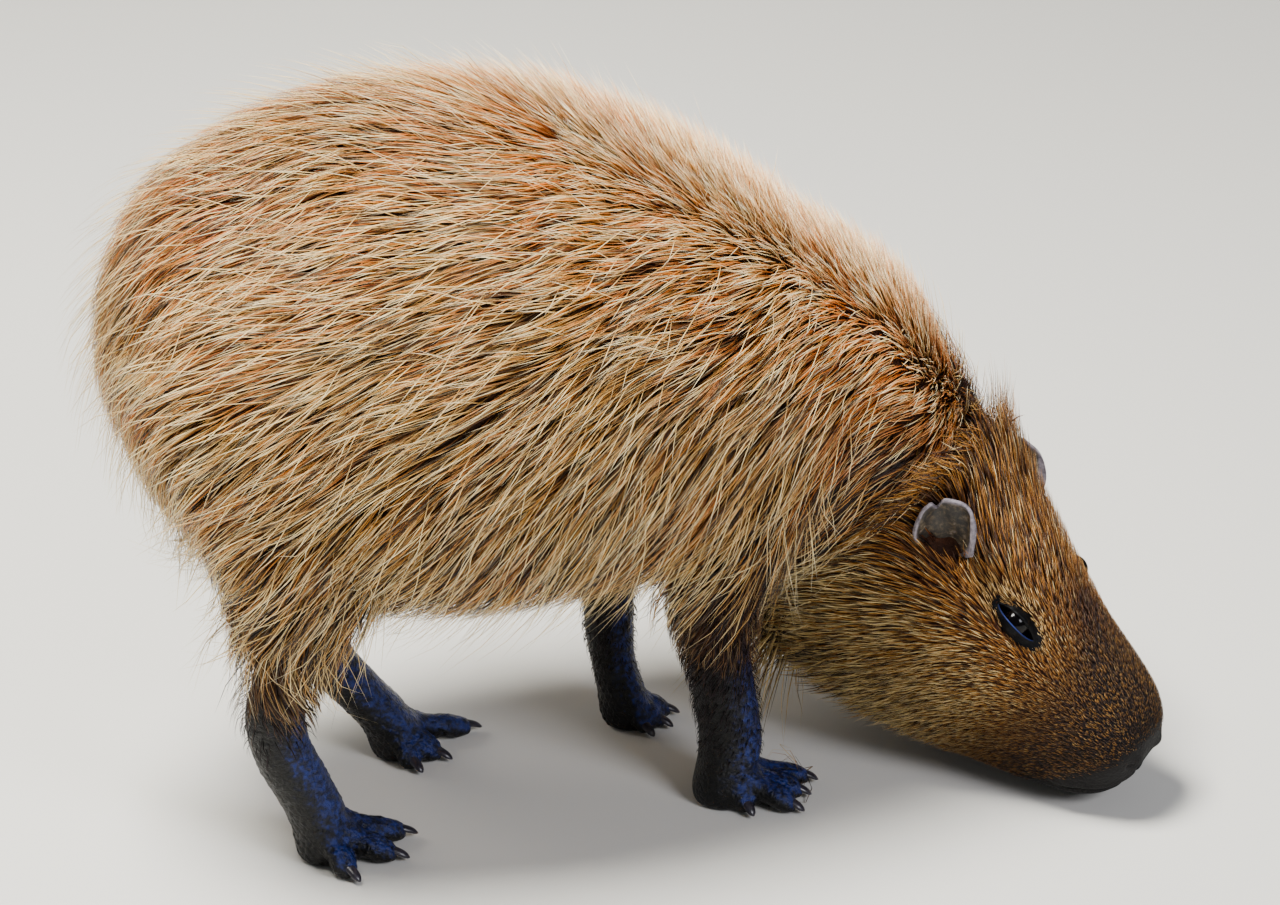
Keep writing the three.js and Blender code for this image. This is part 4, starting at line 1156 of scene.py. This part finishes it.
def head_shape(place, rise=RISE["head"]):
    """Long at the ruff and the nape, down to a short nap on the muzzle."""
    n = len(place)
    local = to_head(place)
    a, b, c = local.T
    reach = np.interp(a, *HEAD_FUR_LENGTH)
    ruff = (1 - smooth_step(-150, -50, c)) * (1 - smooth_step(110, 190, a))
    nape = 1 - smooth_step(-20, 60, a)
    crown = smooth_step(-25, 15, c) * (1 - smooth_step(60, 150, a))
    jaw = 1 - smooth_step(-178, -105, c)
    length = reach * (1 + 1.1 * ruff + 1.0 * jaw * (a < 190) + 0.35 * crown)
    ring = np.full(n, 9.0)
    for s in (-1, 1):
        x, y, z = at_eye(local, s)
        wide = np.where(y > 0, 18, 12)
        ring = np.where(z > -20, np.minimum(ring, np.hypot(x / 32, y / wide)), ring)
    around_eye = np.exp(-(((ring - 0.85) / 0.3) ** 2))
    length *= rng.uniform(0.7, 1.25, n) * (1 - 0.45 * around_eye)
    width = (0.55 + 0.010 * length) * rng.uniform(0.75, 1.2, n)
    ahead = smooth_step(95, 185, a - 0.2 * np.abs(b))
    snout = np.exp(-((b / 28) ** 2)) * smooth_step(70, 125, a) * (c > -40)
    grizzle = (1 - smooth_step(-75, -10, c)) * (1 - ahead)
    dark_share = 0.42 + 0.2 * crown - 0.06 * grizzle
    dark = np.where(rng.random(n) < dark_share, rng.uniform(0.7, 1.0, n), 0.08)
    dark = np.maximum(dark, np.clip(1.05 * ahead + 0.9 * snout, 0, 1) * rng.uniform(0.72, 1.1, n))
    dark *= 1 - 0.8 * around_eye
    pale_share = 0.12 + 0.44 * grizzle + 0.3 * ruff
    pale = np.where(rng.random(n) < pale_share, rng.uniform(0.6, 1.0, n), 0.05)
    pale = np.maximum(pale * (1 - 0.6 * ahead), 0.45 * around_eye * rng.uniform(0.5, 1, n))
    speck = (rng.random(n) < 0.25) * ahead
    dark *= 1 - 0.55 * speck
    red = redness(place) - 0.45 * grizzle - 0.5 * ahead - 0.8 * around_eye + rng.normal(0, 0.12, n)
    return {
        "length": length, "rise": rise,
        "stand": 0.06 + 0.38 * crown + 0.2 * nape * (c > -30) + 0.12 * ruff + 0.6 * jaw,
        "stray": rng.uniform(0.08, 0.34, n) * (1 + jaw), "clump": 0.35, "width": width, "flat": 0.6,
        "pale": pale, "dark": dark, "red": red,
    }


def leg_density(p):
    """Where the legs' fur grows: thick above, thinning out to the bare feet."""
    _, _, leg = zones_at(p)
    fore = p[:, 0] > 30
    thick = smooth_step(np.where(fore, 80, 124), np.where(fore, 130, 158), p[:, 2])
    thin = 0.5 * smooth_step(22, 60, p[:, 2]) * fore
    thin = np.where(fore, thin, 0.3 * smooth_step(95, 130, p[:, 2]))
    return leg * np.maximum(thick, thin) * (1 + 0.5 * fore)


def leg_shape(place):
    """Short dark fur, longer and paler towards the body."""
    n = len(place)
    fore = place[:, 0] > 30
    far = place[:, 1] > 0
    high = smooth_step(100, 190, place[:, 2])
    lower = smooth_step(30, 110, place[:, 2])
    length = np.where(fore, 4 + 8 * lower + 16 * high, 12 + 22 * high) * rng.uniform(0.6, 1.3, n)
    low = 1 - smooth_step(np.where(fore, 90, 118), np.where(fore, 175, 176), place[:, 2])
    # Painted shade: the legs of the far side get darker fur.
    dark = np.where(fore, 0.95, 0.75) * rng.uniform(0.4, 1.25, n) + 0.7 * low + 0.5 * far
    pale = np.where(rng.random(n) < np.where(fore, 0.16, 0.3), 0.6, 0.05) * (1 - low)
    return {
        "length": length, "rise": RISE["leg"], "stand": np.where(fore, 0.04, 0.14),
        "stray": rng.uniform(0.1, 0.5, n), "clump": 0.4, "width": rng.uniform(0.7, 1.3, n),
        "flat": 0.6, "pale": pale, "dark": dark,
        "red": np.where(fore, 0.35, 0.5) + rng.normal(0, 0.15, n),
    }


def crest_density(p):
    """Where the standing hair of the withers and the nape grows."""
    return coat_density(p) * crest_amount(p) ** 0.7


def ruff_density(p):
    """Where the long hair of the cheeks, throat and nape grows."""
    return head_density(p) * (1 - on_face(p))


def face_density(p):
    """Where the short fur of the face grows."""
    return head_density(p) * on_face(p)


def face_shape(place):
    """The head's fur in hairs of fewer rings."""
    return head_shape(place, RISE["face"])


# The layers of the coat: name, kind of hair, material, slot, where it grows and its shape.
LAYERS = (
    ("under_coat", "under", coat_material, "coat", coat_density, coat_shape("under")),
    ("coarse_coat", "coarse", coat_material, "coat", coat_density, coat_shape("coarse")),
    ("stray_hair", "stray", coat_material, "coat", coat_density, coat_shape("stray")),
    ("crest", "crest", coat_material, "coat", crest_density, coat_shape("coarse")),
    ("head_fur", "head", head_material, "head_coat", ruff_density, head_shape),
    ("face_fur", "face", head_material, "head_coat", face_density, face_shape),
    ("leg_fur", "leg", leg_material, "leg", leg_density, leg_shape),
)
for name, kind, stuff, slot, density, shape in LAYERS:
    plant(name, stuff, slot, density, HAIRS[kind], shape, PER_PIECE.get(kind, PER_PIECE["body"]))


def eyeball(side, word):
    """A ball whose front is turned out of the socket."""
    centre, ahead, upward, facing = eye_frame(side)
    rings = []
    angles = circle(48)
    for t in np.linspace(-0.495 * np.pi, 0.495 * np.pi, 32):
        flat = EYE["radius"] * math.cos(t)
        ring = centre + np.outer(flat * np.cos(angles), ahead) + np.outer(flat * np.sin(angles), upward)
        rings.append(in_head(ring + facing * (EYE["radius"] * math.sin(t))))
    obj = joined_shape("eyeball_" + word, [rings])
    outward(obj)
    shaded_smooth(obj)
    return done(obj, eye_material, "eye", "eye_" + word)


def eyelids(side, word):
    """Both lids as one sleeve of skin: it lies on the ball, thick at the rim, and runs out into the hide."""
    centre, ahead, upward, facing = eye_frame(side)
    r = EYE["radius"]
    around = 120
    t = circle(around)
    upper = smooth_step(-0.2, 0.2, np.sin(t))
    # Each ring: share of the way out, height above the ball and how far it has left the ball.
    profile = [
        (-0.10, -2.5, 0), (-0.02, -0.2, 0), (0.0, 0.9, 0), (0.05, 1.7, 0), (0.14, 2.1, 0), (0.24, 1.7, 0.02),
        (0.32, 1.2, 0.06), (0.42, 1.6, 0.15), (0.55, 1.4, 0.35), (0.72, 0.6, 0.65), (0.88, -0.3, 0.9),
        (1.0, -1.6, 1.0), (0.9, -5.0, 1.0), (0.3, -4.0, 0.3),
    ]
    outside = 40.0
    rings = []
    for share, rise, free in profile:
        long = (EYE["long"] - 7) + 11 * share
        opening = EYE["open_down"] + (EYE["open_up"] - EYE["open_down"]) * upper
        high = opening + (8.5 + 2.5 * upper) * share
        pinch = np.abs(np.sin(t)) ** (0.30 if share < 0.5 else 0.15)
        x = long * np.cos(t)
        y = high * np.sin(t) * pinch
        flat = np.hypot(x, y)
        side_of_ball = r * 0.9
        ball = np.sqrt(np.maximum(r * r - np.minimum(flat, side_of_ball) ** 2, 0))
        ball -= np.maximum(flat - side_of_ball, 0) * 0.55
        base = []
        for dx, dy in zip(x, y):
            spread = max(math.hypot(dx / LID_PATCH[0], dy / LID_PATCH[1]), 0.05)
            wider = 1.0 if spread > 1 else 1 / spread
            spot = in_head(centre + ahead * dx * wider + upward * dy * wider + facing * outside)
            hit = tree_of_skin.ray_cast(spot, -(facing @ HEAD_AXES))
            base.append(outside - hit[3] if hit[0] is not None else 0.0)
        base = np.array(base)
        base = (np.roll(base, 2) + np.roll(base, 1) + base + np.roll(base, -1) + np.roll(base, -2)) / 5
        crease = 0.5 * np.sin(26 * share * (1 + 0.2 * np.cos(t))) * (share > 0.1)
        depth = np.maximum(ball, base - 1.5) * (1 - free) + base * free + rise + crease
        if share > 0 and rise > -2:
            shell = np.sqrt(np.maximum(r * r - flat**2, 0)) * (flat < r)
            depth = np.maximum(depth, shell + 0.9)
        ring = centre + np.outer(x, ahead) + np.outer(y, upward) + np.outer(depth, facing)
        rings.append(in_head(ring))
    points = np.asarray(rings).reshape(-1, 3)
    n = len(profile)
    faces = []
    for i in range(n):
        for j in range(around):
            k = (i + 1) % n
            faces.append((i * around + j, i * around + (j + 1) % around,
                          k * around + (j + 1) % around, k * around + j))
    obj = mesh_object("eyelids_" + word, points, faces)
    outward(obj)
    # The lower lid's wet rim is marked for a painted pale blue highlight.
    edge = np.array([math.exp(-((share - 0.02) / 0.06) ** 2) * (free == 0) for share, _, free in profile])
    lower = np.clip(-np.sin(t), 0, 1) ** 0.5
    mark_vertices(obj, "lid_rim_painted_highlight", (edge[:, None] * lower[None, :]).ravel())
    shaded_smooth(obj)
    return done(obj, lid_material, "head_coat")


def ear(side, word):
    """A cupped ear with a rolled rim, a notch at the back and a fold in front."""
    axis = unit(np.array(EAR_AXIS))
    opens = np.array(EAR_OPENS[word])
    opens = unit(opens - opens.dot(axis) * axis)
    front = np.cross(opens, axis)
    rows, columns = 40, 48
    wall, bend, tall, wide = (EAR[k] for k in ("wall", "bend", "tall", "wide"))
    v = np.linspace(0, 1, rows)[:, None]
    u = np.linspace(-1, 1, columns)[None, :]
    reach = wide * (0.5 * np.sqrt(np.maximum(0, 1 - ((v - 0.6) / 0.62) ** 2)) + 0.05)
    turn = u * reach / bend
    notch = 9 * np.exp(-(((u + 0.5) / 0.13) ** 2)) * v**4
    height = v * tall - EAR_SUNK[word] - notch - 8 * np.abs(u) ** 3 * v
    edge = np.maximum(smooth_step(0.6, 0.78, u + 0 * v), smooth_step(0.9, 1.0, -u + 0 * v))
    rim = np.maximum(smooth_step(0.93, 1.0, v + 0 * u), edge)
    thick = wall * (1 - 0.25 * v) + 1.2 * rim
    ridge = 1.6 * np.exp(-(((u - 0.45) / 0.12) ** 2)) * (1 - v)
    ripple = 1.3 * np.sin(8 * u + 2 * v) * np.sin(6 * v) + ridge
    sheets = []
    for sign in (1, -1):
        radius = bend + sign * thick / 2 + ripple
        fold = 3.5 * smooth_step(0.6, 1.0, u + 0 * v) * (1 - v * 0.5)
        local = (
            np.array([EAR["a"], EAR["b"], EAR["c"]])
            + height[..., None] * axis
            + (radius * np.sin(turn) - fold)[..., None] * front
            + (bend * 0.8 - radius * np.cos(turn) - 5 * v * v)[..., None] * opens
        )
        local[..., 1] *= side
        sheets.append(in_head(local).reshape(-1, 3))
    points = np.concatenate(sheets)
    n = rows * columns
    faces = []
    for i in range(rows - 1):
        for j in range(columns - 1):
            k = i * columns + j
            faces.append((k, k + 1, k + columns + 1, k + columns))
            faces.append((n + k, n + k + columns, n + k + columns + 1, n + k + 1))
        k = i * columns
        faces.append((k, k + columns, n + k + columns, n + k))
        k += columns - 1
        faces.append((k, n + k, n + k + columns, k + columns))
    for j in range(columns - 1):
        faces.append((j, n + j, n + j + 1, j + 1))
        k = (rows - 1) * columns + j
        faces.append((k, k + 1, n + k + 1, n + k))
    obj = mesh_object("ear_" + word, points, faces)
    outward(obj)
    mark_vertices(obj, "rim", np.tile(rim.reshape(-1), 2))
    shaded_smooth(obj)
    return done(obj, ear_material, "ear", "ear_" + word)


def claw(name, toe, number, long):
    """A blunt, hoof-like claw that arches over the tip of its toe."""
    start, ahead, left, reach, _ = toe_frame(toe)
    rings = []
    angles = circle(20)
    for s in np.linspace(0, 1, 14):
        far = reach - 8 + (long + 5) * s
        height = 11.8 - 7.6 * s**1.6
        end = math.sqrt(max(0.05, 1 - max(0, (s - 0.7) / 0.305) ** 2))
        wide = CLAW["half_wide"] * (1.12 - 0.3 * s) * end
        high = (CLAW["half_high"] * 0.95 - 0.8 * s) * end
        b, c = oval(angles, wide, high, high * 0.6, 2.0)
        level = max(height, high * 0.6 + CLAW["lift"])
        middle = start + ahead * far
        rings.append(middle + np.outer(b, left) + np.outer(c + level, [0, 0, 1]))
    obj = joined_shape(f"claw_{name}_{number}", [rings])
    shaded_smooth(obj)
    return done(obj, claw_material, "claw", f"claw_{name}_{number}")


for word, s in (("right", -1), ("left", 1)):
    eyeball(s, word)
    eyelids(s, word)
    ear(s, word)
for name, leg in LEGS.items():
    for i, toe in enumerate(leg["toes"]):
        claw(name, toe, i + 1, CLAW["fore" if name.startswith("fore") else "hind"])


# Pale floor and soft studio light.
floor_material, tree, shader = material("pale_floor")
shader.inputs["Base Color"].default_value = hexed("#D8D6D0")
shader.inputs["Roughness"].default_value = 0.8
bpy.ops.mesh.primitive_plane_add(size=FLOOR_SIDE, location=(0, 0, 0))
floor = bpy.context.object
floor.name = "floor"
floor.data.materials.append(floor_material)


def lamp(name, place, aim, power, size, colour):
    """A soft square lamp turned to its aim."""
    data = bpy.data.lights.new(name, "AREA")
    data.energy, data.size, data.color = power, size, hexed(colour)[:3]
    obj = bpy.data.objects.new(name, data)
    obj.location = place
    obj.rotation_euler = (Vector(aim) - Vector(place)).to_track_quat("-Z", "Y").to_euler()
    bpy.context.scene.collection.objects.link(obj)


for name, (place, aim_height, power, size, colour) in LAMPS.items():
    lamp(name, place, (0, 0, aim_height), power, size, colour)
world = bpy.data.worlds.new("studio")
world.use_nodes = True
world.node_tree.nodes["Background"].inputs[0].default_value = hexed(WORLD_LIGHT[0])
world.node_tree.nodes["Background"].inputs[1].default_value = WORLD_LIGHT[1]
bpy.context.scene.world = world

# The camera looks at the animal from its right side and from above.
az, el = math.radians(CAMERA["azimuth"]), math.radians(CAMERA["elevation"])
back = Vector((math.sin(az) * math.cos(el), -math.cos(az) * math.cos(el), math.sin(el)))
target = Vector(((np.array(CAMERA["target"]) + SHIFT) * MM).tolist())
camera = bpy.data.objects.new("camera", bpy.data.cameras.new("camera"))
camera.data.lens = CAMERA["lens"]
camera.location = target + back * CAMERA["distance"] * MM
camera.rotation_mode = "QUATERNION"
camera.rotation_quaternion = (-back).to_track_quat("-Z", "Y")
bpy.context.scene.collection.objects.link(camera)
bpy.context.scene.camera = camera
